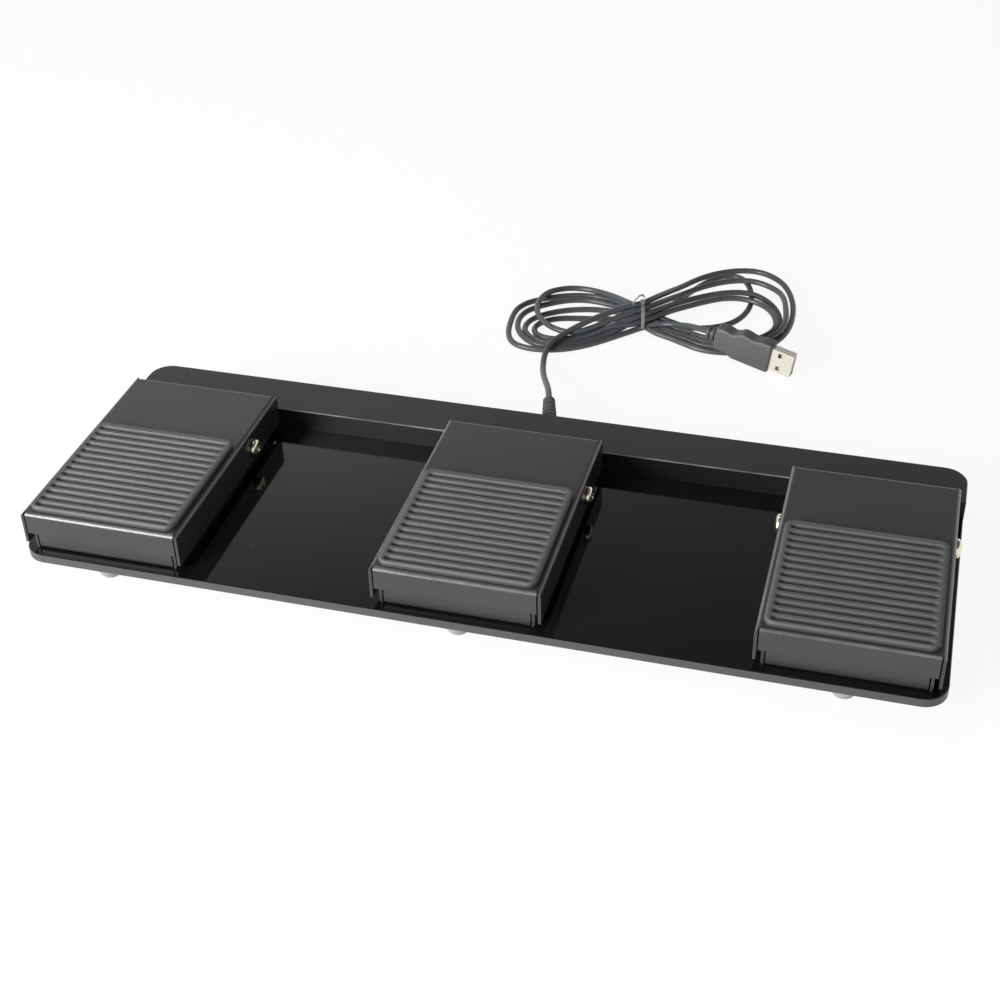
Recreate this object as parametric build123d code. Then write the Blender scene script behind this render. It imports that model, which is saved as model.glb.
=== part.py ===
from build123d import *
import math
import os

# Triple foot pedal switch: three hinged sheet steel pedals on an acrylic base, a flat rear housing
# with the control board, and a cord wound in a tied figure-eight hank.
# Millimetres. X runs along the base, Y points from the pedal toes to the cord, Z is up.
# The origin is on the surface the feet stand on, below the middle of the base.

# Base and feet
base_length = 380.0
base_width = 140.0
base_thickness = 4.3
base_corner_radius = 10.0
base_edge_chamfer = 0.3
foot_diameter = 11.2
foot_height = 5.0
foot_edge_inset = 6.2
foot_tip_diameter = 4.8

# Pedal covers, folded from sheet
pedal_width = 70.0
pedal_side_margin = 3.0
pedal_toe_gap = 2.1
pedal_heel_gap = 3.9
pedal_rise = 19.2
cover_sheet = 1.2
cover_bend = 2.0
side_flange_depth = 14.9
toe_flange_depth = 10.2
heel_flange_depth = 8.0
corner_relief = 0.6
press_angle = 2.7

# Rubber pads
pad_width = 65.0
pad_length = 66.0
pad_toe_inset = 2.4
pad_thickness = 2.3
pad_corner_radius = 4.0
pad_edge_chamfer = 0.8
groove_count = 14
groove_pitch = 4.5
groove_length = 60.0
groove_width = 1.7
groove_depth = 1.2
groove_heel_margin = 1.8

# Trays under the covers
tray_sheet = 1.2
tray_bend = 2.0
tray_side_gap = 1.8
tray_end_gap = 1.0
tray_rest_gap = 0.3
tray_stop_gap = 0.3
tray_side_drop = 1.0

# Pivots
pivot_from_toe = 80.0
pivot_rise = 10.0
pivot_shoulder_diameter = 5.0
pivot_running_clearance = 0.05
pivot_thread_diameter = 4.0
pivot_head_diameter = 8.0
pivot_head_height = 2.3
pivot_head_edge = 0.8
pivot_side_play = 0.2
pivot_nut_across_flats = 7.0
pivot_nut_height = 3.2
spacer_diameter = 8.0
fit_clearance = 0.05

# Return springs
spring_arm = 42.0
spring_diameter = 9.0
spring_wire = 1.0
spring_turns = 4.5
spring_stud_diameter = 6.0
spring_stud_height = 3.5

# Snap switches
switch_arm = 20.0
switch_offset = 14.0
switch_length = 19.8
switch_thickness = 6.4
switch_height = 10.2
switch_edge = 0.4
switch_plunger_offset = 2.7
switch_hole_spacing = 9.5
switch_hole_rise = 2.9
plunger_diameter = 2.4
plunger_rise = 1.6
plunger_engagement = 2.2
plunger_gap = 0.3
terminal_height = 3.6
terminal_width = 2.8
terminal_thickness = 0.5
terminal_spacing = 7.3
bracket_sheet = 1.2
bracket_foot = 8.0
bracket_bend = 2.0
switch_screw_diameter = 2.0
switch_screw_head = 3.8
switch_screw_head_height = 1.3

# Tray fixings
fixing_diameter = 3.0
fixing_head_diameter = 6.0
fixing_head_height = 1.7
fixing_side_margin = 8.8
fixing_toe_inset = 16.0
fixing_heel_inset = 12.0
fixing_nut_across_flats = 5.5
fixing_nut_height = 2.4

# Rear housing
housing_depth = 24.0
housing_height = 9.7
housing_wall = 2.0
housing_edge_chamfer = 0.4
housing_boss_diameter = 7.0
housing_boss_offsets = (-44.0, 26.0)
housing_screw_bite = 5.0

# Control board
board_from_pedal = 80.0
board_length = 34.0
board_width = 14.0
board_thickness = 1.2
board_boss_diameter = 5.0
board_boss_height = 2.5
board_hole_spread = 7.0
board_hole_stagger = 4.2
board_screw_diameter = 2.0
board_screw_head = 3.8
board_screw_head_height = 1.3
board_screw_bite = 2.0
chip_length = 10.0
chip_width = 4.0
chip_height = 1.6
socket_length = 6.0
socket_width = 4.4
socket_height = 3.0
socket_spacing = 4.6

# Internal leads
lead_diameter = 2.2
lead_notch_width = 5.0
lead_notch_height = 3.6

# Cord, strain relief and hank
cord_diameter = 3.0
cord_exit_x = 3.8
cord_exit_rise = 3.85
relief_lean = 14.5
relief_droop = 4.0
relief_length = 26.0
relief_root_diameter = 6.8
relief_tip_diameter = 4.2
relief_rings = 7
relief_ring_groove = 1.1
relief_ring_depth = 0.5
relief_collar_length = 3.0
relief_collar_diameter = 7.6
relief_seat = 1.7
relief_neck_diameter = 5.6
relief_flange_diameter = 7.2
relief_flange_thickness = 1.5
hank_layer = 3.3
waist_layers = 2
bundle_middle = (23.3, 190.5)
bundle_heading = 14.0
bundle_length = 11.0
bundle_width = 13.0
bundle_height = 12.8
bundle_corner = 4.0
tie_width = 2.2
tie_thickness = 0.7
tie_tail_offset = 2.0
tie_tail_thickness = 1.0
tie_tail_rise = 4.5

# Plug on the cord
plug_tail = (65.0, 170.8, 12.1)
plug_heading = -16.4
plug_pitch = 7.5
plug_roll = 89.0
plug_length = 30.0
plug_width = 16.0
plug_thickness = 7.6
plug_tail_width = 12.6
plug_tail_length = 7.5
plug_step_length = 2.5
plug_edge = 1.2
collar_length = 5.0
collar_neck_diameter = 4.6
collar_ring_diameter = 7.0
collar_ring_width = 1.4
shell_width = 12.0
shell_thickness = 4.5
shell_wall = 0.35
shell_length = 11.5
shell_seat = 3.0
shell_window = 2.3
shell_window_spread = 7.2
shell_window_from_body = 4.8
tongue_thickness = 1.8
tongue_setback = 0.6
contact_width = 1.2
contact_length = 7.5
contact_thickness = 0.2
contact_places = (-3.5, -1.2, 1.2, 3.5)

# Levels and places worked out from the sizes above
pedal_pitch = (base_length - pedal_width) / 2 - pedal_side_margin
pedal_length = base_width - pedal_toe_gap - pedal_heel_gap - housing_depth
board_center_x = board_from_pedal - pedal_pitch
base_bottom = foot_height
base_top = base_bottom + base_thickness
toe_face = -base_width / 2 + pedal_toe_gap
heel_face = toe_face + pedal_length
pedal_middle_y = (toe_face + heel_face) / 2
cover_top = base_top + pedal_rise
cover_under = cover_top - cover_sheet
pivot_y = toe_face + pivot_from_toe
pivot_z = base_top + pivot_rise
press_slope = math.tan(math.radians(press_angle))
cover_inner_half = pedal_width / 2 - cover_sheet
tray_outer_half = cover_inner_half - tray_side_gap
tray_inner_half = tray_outer_half - tray_sheet
fixing_side_offset = tray_inner_half - fixing_side_margin
tray_toe = toe_face + cover_sheet + tray_end_gap
tray_heel = heel_face - cover_sheet - tray_end_gap
tray_middle_y = (tray_toe + tray_heel) / 2
tray_floor = base_top + tray_sheet
tray_toe_wall = cover_under - (pivot_y - tray_toe) * press_slope - tray_stop_gap
tray_heel_wall = cover_under - tray_rest_gap
spring_y = pivot_y - spring_arm
switch_y = pivot_y - switch_arm
switch_middle_y = switch_y + switch_plunger_offset
switch_top = cover_under - plunger_gap - plunger_rise
switch_bottom = switch_top - switch_height
switch_screw_z = switch_bottom + switch_hole_rise
plunger_travel = switch_arm * press_slope
fixing_bore = fixing_diameter + 2 * fit_clearance
housing_front = base_width / 2 - housing_depth
housing_middle_y = (housing_front + base_width / 2) / 2
housing_top = base_top + housing_height
housing_roof = housing_top - housing_wall
cord_exit_z = base_top + cord_exit_rise
board_top = housing_roof - board_boss_height
board_under = board_top - board_thickness
board_left = board_center_x - board_length / 2
board_right = board_center_x + board_length / 2
socket_z = board_under - socket_height / 2
pedal_centers = {"left": -pedal_pitch, "middle": 0.0, "right": pedal_pitch}
fixing_spots = [
    (side * fixing_side_offset, y)
    for side in (-1, 1)
    for y in (tray_toe + fixing_toe_inset, tray_heel - fixing_heel_inset)
]
boss_spread = [pedal_pitch + offset for offset in housing_boss_offsets]
housing_spots = [(side * spread, housing_middle_y) for side in (-1, 1) for spread in boss_spread]
board_spots = [
    (board_center_x + side * board_hole_spread, housing_middle_y + side * board_hole_stagger)
    for side in (-1, 1)
]
foot_spots = [
    (x, side * (base_width / 2 - foot_edge_inset))
    for x in pedal_centers.values()
    for side in (-1, 1)
]


# Small shared forms
def block(low, high):
    size = [high[i] - low[i] for i in range(3)]
    center = [(high[i] + low[i]) / 2 for i in range(3)]
    return Pos(*center) * Box(*size)


def upright(x, y, low, high, diameter):
    return Pos(x, y, (low + high) / 2) * Cylinder(diameter / 2, high - low)


def crosswise(start, end, y, z, diameter):
    return Pos((start + end) / 2, y, z) * Rot(0, 90, 0) * Cylinder(diameter / 2, end - start)


def hexagon_nut(across_flats, height, bore):
    body = extrude(RegularPolygon(across_flats / 2, 6, major_radius=False), height)
    return body - Pos(0, 0, height / 2) * Cylinder(bore / 2, height * 2)


# A sheet bent into a channel: the web lies along the top and one flange hangs at each end
def folded_section(width, low_depth, high_depth, sheet, bend):
    half = width / 2
    outline = Polyline(
        (-half, -low_depth),
        (-half, 0),
        (half, 0),
        (half, -high_depth),
        (half - sheet, -high_depth),
        (half - sheet, -sheet),
        (-half + sheet, -sheet),
        (-half + sheet, -low_depth),
        close=True,
    )
    section = make_face(outline)
    outer = [v for v in section.vertices() if abs(v.Y) < 1e-6]
    section = fillet(outer, bend)
    inner = [
        v
        for v in section.vertices()
        if abs(v.Y + sheet) < 1e-6 and abs(abs(v.X) - half + sheet) < 1e-6
    ]
    return fillet(inner, bend - sheet)


# The channel runs along Y. Its flanges hang under a cover and stand up in a tray
def lengthwise_channel(low_y, high_y, web_z, standing, section):
    if standing:
        plane = Plane(origin=(0, low_y, web_z), x_dir=(1, 0, 0), z_dir=(0, 1, 0))
    else:
        plane = Plane(origin=(0, high_y, web_z), x_dir=(1, 0, 0), z_dir=(0, -1, 0))
    return extrude(plane * section, high_y - low_y)


# The channel runs along X. The low end of its section faces the toe, the high end the heel
def crosswise_channel(middle_y, width, web_z, standing, section):
    if standing:
        plane = Plane(origin=(width / 2, middle_y, web_z), x_dir=(0, 1, 0), z_dir=(-1, 0, 0))
    else:
        plane = Plane(origin=(-width / 2, middle_y, web_z), x_dir=(0, 1, 0), z_dir=(1, 0, 0))
    return extrude(plane * section, width)


# Round wire or cord along straight runs, joined by arcs as large as the runs allow
def turn_radii(points):
    corners = [Vector(*point) for point in points]
    radii = []
    for before, here, after in zip(corners, corners[1:], corners[2:]):
        arriving = here - before
        leaving = after - here
        half_turn = math.radians(arriving.get_angle(leaving)) / 2
        shorter = min(arriving.length, leaving.length)
        radii.append(0.45 * shorter / math.tan(half_turn))
    return radii


def routed_tube(name, points, diameter):
    radii = turn_radii(points)
    path = FilletPolyline(*points, radius=radii)
    section = Plane(origin=path @ 0, z_dir=path % 0) * Circle(diameter / 2)
    tube = sweep(section, path=path)
    expected = math.pi * diameter**2 / 4 * path.length
    print(f"{name}: length {path.length:.1f}, volume ratio {tube.volume / expected:.4f}")
    print("   radii", [round(radius, 1) for radius in radii])
    return tube


# Base plate with countersunk holes in its underside
def countersunk_hole(x, y):
    shank = upright(x, y, base_bottom, base_top, fixing_bore)
    seat = Cone(
        fixing_head_diameter / 2 + fit_clearance,
        fixing_diameter / 2 + fit_clearance,
        fixing_head_height,
    )
    return shank + Pos(x, y, base_bottom + fixing_head_height / 2) * seat


def base_plate():
    outline = RectangleRounded(base_length, base_width, base_corner_radius)
    plate = Pos(0, 0, base_bottom) * extrude(outline, base_thickness)
    rims = plate.faces().filter_by(Axis.Z).edges()
    plate = chamfer(rims, base_edge_chamfer)
    holes = [countersunk_hole(center + x, y) for center in pedal_centers.values() for x, y in fixing_spots]
    holes += [countersunk_hole(x, y) for x, y in housing_spots]
    return plate - holes


def rubber_feet():
    radius = foot_diameter / 2
    tip = foot_tip_diameter / 2
    dome = ThreePointArc(
        (tip, 0),
        (tip + (radius - tip) * 0.75, foot_height * 0.36),
        (radius, foot_height),
    )
    rest = Polyline((radius, foot_height), (0, foot_height), (0, 0), (tip, 0))
    foot = revolve(Plane.XZ * make_face(dome + rest), Axis.Z)
    return [Pos(x, y, 0) * foot for x, y in foot_spots]


def countersunk_screw(x, y, tip_z):
    shank = upright(x, y, base_bottom, tip_z, fixing_diameter)
    head = Cone(fixing_head_diameter / 2, fixing_diameter / 2, fixing_head_height)
    return shank + Pos(x, y, base_bottom + fixing_head_height / 2) * head


# Pedal cover: a folded sheet with side, toe and heel flanges and open corners
def pedal_cover():
    side_section = folded_section(pedal_width, side_flange_depth, side_flange_depth, cover_sheet, cover_bend)
    end_section = folded_section(pedal_length, toe_flange_depth, heel_flange_depth, cover_sheet, cover_bend)
    cover = lengthwise_channel(toe_face, heel_face, cover_top, False, side_section)
    for low, high in ((toe_face, toe_face + cover_bend), (heel_face - cover_bend, heel_face)):
        cover -= block(
            (-cover_inner_half, low, cover_under - cover_bend),
            (cover_inner_half, high, cover_top),
        )
    end_width = 2 * (cover_inner_half - corner_relief)
    cover += crosswise_channel(pedal_middle_y, end_width, cover_top, False, end_section)
    bore = pivot_shoulder_diameter + 2 * pivot_running_clearance
    cover -= crosswise(-pedal_width, pedal_width, pivot_y, pivot_z, bore)
    stud_low = cover_under - spring_stud_height
    cover += upright(0, spring_y, stud_low, cover_under, spring_stud_diameter)
    return cover


# Rubber pad with a flat frame and rounded ribs between moulded grooves
def rubber_pad():
    toe = toe_face + pad_toe_inset
    outline = RectangleRounded(pad_width, pad_length, pad_corner_radius)
    pad = Pos(0, toe + pad_length / 2, cover_top) * extrude(outline, pad_thickness)
    pad = chamfer(pad.faces().sort_by(Axis.Z)[-1].edges(), pad_edge_chamfer)
    top = cover_top + pad_thickness
    half = groove_width / 2
    profile = make_face(
        Polyline((-half, 0), (-half, -groove_depth + half), close=False)
        + ThreePointArc((-half, -groove_depth + half), (0, -groove_depth), (half, -groove_depth + half))
        + Polyline((half, -groove_depth + half), (half, 0), (-half, 0))
    )
    last = toe + pad_length - groove_heel_margin - groove_pitch / 2
    for index in range(groove_count):
        plane = Plane(
            origin=(-groove_length / 2, last - index * groove_pitch, top),
            x_dir=(0, 1, 0),
            z_dir=(1, 0, 0),
        )
        pad -= extrude(plane * profile, groove_length)
    return pad


# Tray: a folded pan whose toe wall stops the pressed cover and whose heel wall carries it at rest
def pedal_tray():
    side_height = cover_under - base_top - tray_side_drop
    side_section = folded_section(2 * tray_outer_half, side_height, side_height, tray_sheet, tray_bend)
    end_section = folded_section(
        tray_heel - tray_toe,
        tray_toe_wall - base_top,
        tray_heel_wall - base_top,
        tray_sheet,
        tray_bend,
    )
    tray = lengthwise_channel(tray_toe, tray_heel, base_top, True, side_section)
    for low, high in ((tray_toe, tray_toe + tray_bend), (tray_heel - tray_bend, tray_heel)):
        tray -= block((-tray_inner_half, low, base_top), (tray_inner_half, high, tray_floor + tray_bend))
    end_width = 2 * (tray_inner_half - corner_relief)
    tray += crosswise_channel(tray_middle_y, end_width, base_top, True, end_section)
    side_top = cover_under - tray_side_drop
    toe_side_top = side_top - (pivot_y - tray_toe) * press_slope
    slope = make_face(
        Polyline(
            (tray_toe, toe_side_top),
            (pivot_y, side_top),
            (pivot_y, side_top + tray_side_drop),
            (tray_toe, side_top + tray_side_drop),
            close=True,
        )
    )
    across = Plane(origin=(tray_inner_half, 0, 0), x_dir=(0, 1, 0), z_dir=(1, 0, 0))
    for shift in (0, -tray_outer_half - tray_inner_half):
        tray -= Pos(shift, 0, 0) * extrude(across * slope, tray_sheet)
    thread = pivot_thread_diameter + 2 * fit_clearance
    tray -= crosswise(-tray_outer_half, tray_outer_half, pivot_y, pivot_z, thread)
    for x, y in fixing_spots:
        tray -= upright(x, y, base_top, tray_floor, fixing_bore)
    tray -= block(
        (-lead_notch_width / 2, tray_heel - tray_sheet, tray_floor),
        (lead_notch_width / 2, tray_heel, tray_floor + lead_notch_height),
    )
    tray += upright(0, spring_y, tray_floor, tray_floor + spring_stud_height, spring_stud_diameter)
    return tray


# Pivot hardware, drawn for the right side of a pedal and mirrored for the left
def pivot_screw():
    head_start = pedal_width / 2 + pivot_side_play
    head = crosswise(head_start, head_start + pivot_head_height, pivot_y, pivot_z, pivot_head_diameter)
    head = fillet(head.faces().sort_by(Axis.X)[-1].edges(), pivot_head_edge)
    shoulder = crosswise(tray_outer_half, head_start, pivot_y, pivot_z, pivot_shoulder_diameter)
    thread_end = tray_inner_half - pivot_nut_height - tray_sheet
    thread = crosswise(thread_end, tray_outer_half, pivot_y, pivot_z, pivot_thread_diameter)
    return head + shoulder + thread


def pivot_nut():
    nut = hexagon_nut(pivot_nut_across_flats, pivot_nut_height, pivot_thread_diameter + 2 * fit_clearance)
    return Pos(tray_inner_half - pivot_nut_height, pivot_y, pivot_z) * Rot(0, 90, 0) * nut


def pivot_spacer():
    end = cover_inner_half - pivot_side_play
    ring = crosswise(tray_outer_half, end, pivot_y, pivot_z, spacer_diameter)
    bore = pivot_shoulder_diameter + 2 * fit_clearance
    return ring - crosswise(tray_outer_half, end, pivot_y, pivot_z, bore)


def on_both_sides(piece):
    return [piece, mirror(piece, Plane.YZ)]


# Return spring between the tray floor and the cover, located by a stud at each end
def return_spring():
    mean_radius = (spring_diameter - spring_wire) / 2
    height = cover_under - plunger_gap - tray_floor - spring_wire
    pitch = height / spring_turns
    coil = Helix(pitch, height, mean_radius)
    wire = Plane(origin=coil @ 0, z_dir=coil % 0) * Circle(spring_wire / 2)
    wound = sweep(wire, path=coil, is_frenet=True)
    return Pos(0, spring_y, tray_floor + spring_wire / 2) * wound


# Snap switch: a closed case with three terminals below and a plunger in its top
def switch_case():
    half = switch_thickness / 2
    case = block(
        (switch_offset - half, switch_middle_y - switch_length / 2, switch_bottom),
        (switch_offset + half, switch_middle_y + switch_length / 2, switch_top),
    )
    case = fillet(case.edges().filter_by(Axis.X), switch_edge)
    bore_low = switch_top - plunger_engagement - plunger_travel - plunger_gap
    bore = plunger_diameter + 2 * pivot_running_clearance
    case -= upright(switch_offset, switch_y, bore_low, switch_top, bore)
    hole = switch_screw_diameter + 2 * fit_clearance
    for side in (-1, 1):
        y = switch_middle_y + side * switch_hole_spacing / 2
        case -= crosswise(switch_offset - half, switch_offset + half, y, switch_screw_z, hole)
    terminal_half = terminal_thickness / 2
    for place in (-1, 0, 1):
        y = switch_middle_y + place * terminal_spacing
        case += block(
            (switch_offset - terminal_half, y - terminal_width / 2, switch_bottom - terminal_height),
            (switch_offset + terminal_half, y + terminal_width / 2, switch_bottom),
        )
    return case


def switch_plunger():
    low = switch_top - plunger_engagement
    high = switch_top + plunger_rise
    pin = upright(switch_offset, switch_y, low, high, plunger_diameter)
    return fillet(pin.faces().sort_by(Axis.Z)[-1].edges(), plunger_diameter / 4)


def switch_bracket():
    face_x = switch_offset + switch_thickness / 2
    height = switch_top - tray_floor - switch_hole_rise
    profile = make_face(
        Polyline(
            (face_x, tray_floor),
            (face_x + bracket_foot, tray_floor),
            (face_x + bracket_foot, tray_floor + bracket_sheet),
            (face_x + bracket_sheet, tray_floor + bracket_sheet),
            (face_x + bracket_sheet, tray_floor + height),
            (face_x, tray_floor + height),
            close=True,
        )
    )
    corner = [v for v in profile.vertices() if abs(v.X - face_x) + abs(v.Y - tray_floor) < 1e-6]
    profile = fillet(corner, bracket_bend)
    plane = Plane(
        origin=(0, switch_middle_y + switch_length / 2, 0),
        x_dir=(1, 0, 0),
        z_dir=(0, -1, 0),
    )
    bracket = extrude(plane * profile, switch_length)
    hole = switch_screw_diameter + 2 * fit_clearance
    for side in (-1, 1):
        y = switch_middle_y + side * switch_hole_spacing / 2
        bracket -= crosswise(face_x, face_x + bracket_sheet, y, switch_screw_z, hole)
    return bracket


def switch_screw(side):
    y = switch_middle_y + side * switch_hole_spacing / 2
    near = switch_offset - switch_thickness / 2
    far = switch_offset + switch_thickness / 2 + bracket_sheet + switch_screw_head_height
    shank = crosswise(near, far, y, switch_screw_z, switch_screw_diameter)
    return shank + crosswise(near - switch_screw_head_height, near, y, switch_screw_z, switch_screw_head)


# Rear housing: a thin shell along the back edge of the base, open towards the plate
def housing_outline():
    full = RectangleRounded(base_length, base_width, base_corner_radius)
    return full & Pos(0, housing_middle_y) * Rectangle(base_length, housing_depth)


def rear_housing():
    shell = Pos(0, 0, base_top) * extrude(housing_outline(), housing_height)
    shell = chamfer(shell.faces().sort_by(Axis.Z)[-1].edges(), housing_edge_chamfer)
    cavity = offset(housing_outline(), amount=-housing_wall, kind=Kind.INTERSECTION)
    shell -= Pos(0, 0, base_top) * extrude(cavity, housing_roof - base_top)
    for x, y in housing_spots:
        shell += upright(x, y, base_top, housing_roof, housing_boss_diameter)
        shell -= upright(x, y, base_top, base_top + housing_screw_bite, fixing_bore)
    board_bore = board_screw_diameter + 2 * fit_clearance
    for x, y in board_spots:
        shell += upright(x, y, board_top, housing_roof, board_boss_diameter)
        shell -= upright(x, y, board_top, board_top + board_screw_bite, board_bore)
    for center in pedal_centers.values():
        shell -= block(
            (center - lead_notch_width / 2, housing_front, base_top),
            (center + lead_notch_width / 2, housing_front + housing_wall, base_top + lead_notch_height),
        )
    exit_hole = Pos(cord_exit_x, base_width / 2 - housing_wall / 2, cord_exit_z) * Rot(90, 0, 0)
    return shell - exit_hole * Cylinder(relief_neck_diameter / 2 + fit_clearance, housing_wall)


# Control board, hung under the housing roof with its parts facing down
def control_board():
    board = block(
        (board_center_x - board_length / 2, housing_middle_y - board_width / 2, board_under),
        (board_center_x + board_length / 2, housing_middle_y + board_width / 2, board_top),
    )
    for x, y in board_spots:
        board -= upright(x, y, board_under, board_top, board_screw_diameter + 2 * fit_clearance)
    return board


def board_screw(x, y):
    head_low = board_under - board_screw_head_height
    shank = upright(x, y, board_under, board_top + board_screw_bite, board_screw_diameter)
    return shank + upright(x, y, head_low, board_under, board_screw_head)


def processor_chip():
    return block(
        (board_center_x - chip_length / 2, housing_middle_y - chip_width / 2, board_under - chip_height),
        (board_center_x + chip_length / 2, housing_middle_y + chip_width / 2, board_under),
    )


def board_sockets():
    reach = (board_length - socket_length) / 2
    spots = [(board_center_x - reach, housing_middle_y)]
    spots += [(board_center_x + reach, housing_middle_y + row * socket_spacing) for row in (-1, 0, 1)]
    return [
        block(
            (x - socket_length / 2, y - socket_width / 2, board_under - socket_height),
            (x + socket_length / 2, y + socket_width / 2, board_under),
        )
        for x, y in spots
    ]


# The ribbed tail of the strain relief leans aside and droops a little
tail_length = relief_length - relief_collar_length
lean = math.radians(relief_lean)
droop = math.radians(relief_droop)
relief_axis = Vector(-math.sin(lean) * math.cos(droop), math.cos(lean) * math.cos(droop), -math.sin(droop))
relief_root = Vector(cord_exit_x, base_width / 2 + relief_collar_length - relief_seat, cord_exit_z)
relief_tip = relief_root + relief_axis * tail_length


# Strain relief: a snap-in flange, a neck through the housing wall and a ribbed tail that leans
def strain_relief():
    back = base_width / 2
    neck_plane = Plane(origin=(cord_exit_x, back - housing_wall, cord_exit_z), z_dir=(0, 1, 0))
    flange = neck_plane * Pos(0, 0, -relief_flange_thickness / 2) * Cylinder(
        relief_flange_diameter / 2, relief_flange_thickness
    )
    neck = neck_plane * Pos(0, 0, housing_wall / 2) * Cylinder(relief_neck_diameter / 2, housing_wall)
    collar = neck_plane * Pos(0, 0, housing_wall + relief_collar_length / 2) * Cylinder(
        relief_collar_diameter / 2, relief_collar_length
    )
    tail = Cone(relief_root_diameter / 2, relief_tip_diameter / 2, tail_length)
    pitch = tail_length / (relief_rings + 1)
    for index in range(relief_rings):
        along = -tail_length / 2 + (index + 1) * pitch
        share = (along + tail_length / 2) / tail_length
        outer = relief_root_diameter / 2 + share * (relief_tip_diameter - relief_root_diameter) / 2
        core = Cylinder(outer - relief_ring_depth, relief_ring_groove)
        tail -= Pos(0, 0, along) * (Cylinder(relief_root_diameter, relief_ring_groove) - core)
    tail = Plane(origin=relief_root, z_dir=relief_axis) * Pos(0, 0, tail_length / 2) * tail
    return flange + neck + collar + tail


# Hank: the outer shape of the tied figure-eight, two flat loops and a thicker waist
left_loop_outer = [
    (14, 216),
    (-10, 225),
    (-33, 219),
    (-47, 200),
    (-47, 176),
    (-44.5, 163),
    (-36, 153),
    (-6, 153),
    (10, 169),
    (21, 184),
]
left_loop_inner = [(8, 192), (-6, 176), (-18, 168), (-29, 174), (-32, 194), (-20, 208), (-4, 206)]
right_loop_outer = [
    (29, 232),
    (42, 252),
    (66, 265),
    (84, 260.5),
    (98, 232),
    (101, 208),
    (98, 190),
    (88, 179),
    (74, 173.2),
    (65, 169.5),
    (48, 176.5),
    (30, 184),
]
right_loop_inner = [
    (38, 202),
    (48, 217),
    (64, 226),
    (78, 222),
    (89, 206),
    (88, 190),
    (72, 180),
    (56, 182),
    (42, 189),
]
waist_outline = [(9, 190), (20, 179), (29.5, 181), (36, 199), (34, 210), (24, 214), (12, 207)]
loop_corner = 5.0
waist_corner = 2.5
waist_top = tie_thickness + waist_layers * hank_layer
bundle_low = tie_thickness + fit_clearance
bundle_high = bundle_low + bundle_height
waist_exit = (31.2, 185.7)
waist_exit_direction = (0.94, -0.34)


def rounded_slab(points, corner, low, high):
    face = make_face(Polyline(*points, close=True))
    face = fillet(face.vertices(), corner)
    return Pos(0, 0, low) * extrude(face, high - low)


# A bar with rounded long edges that lies along the bundle of strands, centred on it in plan
def along_bundle(length, width, low, high, corner):
    section = Plane.YZ * RectangleRounded(width, high - low, corner)
    bar = extrude(section, length / 2, both=True)
    return Pos(*bundle_middle, (low + high) / 2) * Rot(0, 0, bundle_heading) * bar


def across_bundle(offset, length, width, low, high):
    turned = Pos(*bundle_middle, (low + high) / 2) * Rot(0, 0, bundle_heading)
    return turned * Pos(0, offset, 0) * Box(length, width, high - low)


def cord_hank():
    loops = []
    for outer, inner in ((left_loop_outer, left_loop_inner), (right_loop_outer, right_loop_inner)):
        outside = rounded_slab(outer, loop_corner, 0, hank_layer)
        loops.append(outside - rounded_slab(inner, loop_corner, 0, hank_layer))
    waist = rounded_slab(waist_outline, waist_corner, 0, waist_top)
    tie_gap = across_bundle(0, tie_width + 2 * fit_clearance, 4 * bundle_width, 0, waist_top)
    bundle = along_bundle(bundle_length, bundle_width, bundle_low, bundle_high, bundle_corner)
    return loops[0] + loops[1] + waist - tie_gap + bundle


# Tie: a flat band round the bundle with its short end standing up
def cord_tie():
    inner_high = bundle_high + fit_clearance
    outer_high = inner_high + tie_thickness
    inner_width = bundle_width + 2 * fit_clearance
    inside = along_bundle(
        2 * tie_width, inner_width, tie_thickness, inner_high, bundle_corner + fit_clearance
    )
    outside = along_bundle(
        tie_width, inner_width + 2 * tie_thickness, 0, outer_high, bundle_corner + tie_thickness
    )
    tail = across_bundle(
        tie_tail_offset, tie_width, tie_tail_thickness, inner_high, outer_high + tie_tail_rise
    )
    return outside - inside + tail


# Plug, drawn along its own axis from the tail of the moulding to the tip of the shell
def plug_location():
    heading = math.radians(plug_heading)
    pitch = math.radians(plug_pitch)
    roll = math.radians(plug_roll)
    axis = Vector(
        math.cos(pitch) * math.cos(heading),
        math.cos(pitch) * math.sin(heading),
        -math.sin(pitch),
    )
    toward_pedals = Vector(math.sin(heading), -math.cos(heading), 0)
    upward = toward_pedals.cross(axis)
    face = upward * math.cos(roll) + toward_pedals * math.sin(roll)
    return Plane(origin=plug_tail, x_dir=axis, z_dir=face)


def plug_body():
    tail = plug_tail_width / 2
    wide = plug_width / 2
    step = plug_tail_length + plug_step_length
    outline = make_face(
        Polyline(
            (0, -tail),
            (plug_tail_length, -tail),
            (step, -wide),
            (plug_length, -wide),
            (plug_length, wide),
            (step, wide),
            (plug_tail_length, tail),
            (0, tail),
            close=True,
        )
    )
    body = Pos(0, 0, -plug_thickness / 2) * extrude(outline, plug_thickness)
    body = fillet(body.edges().filter_by(Axis.X), plug_edge)
    neck = crosswise(-collar_length, 0, 0, 0, collar_neck_diameter)
    rings = [
        crosswise(start, start + collar_ring_width, 0, 0, collar_ring_diameter)
        for start in (-collar_length, -collar_ring_width - 0.6)
    ]
    seat = block(
        (plug_length - shell_seat, -shell_width / 2, -shell_thickness / 2),
        (plug_length, shell_width / 2, shell_thickness / 2),
    )
    return body + neck + rings - seat


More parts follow.
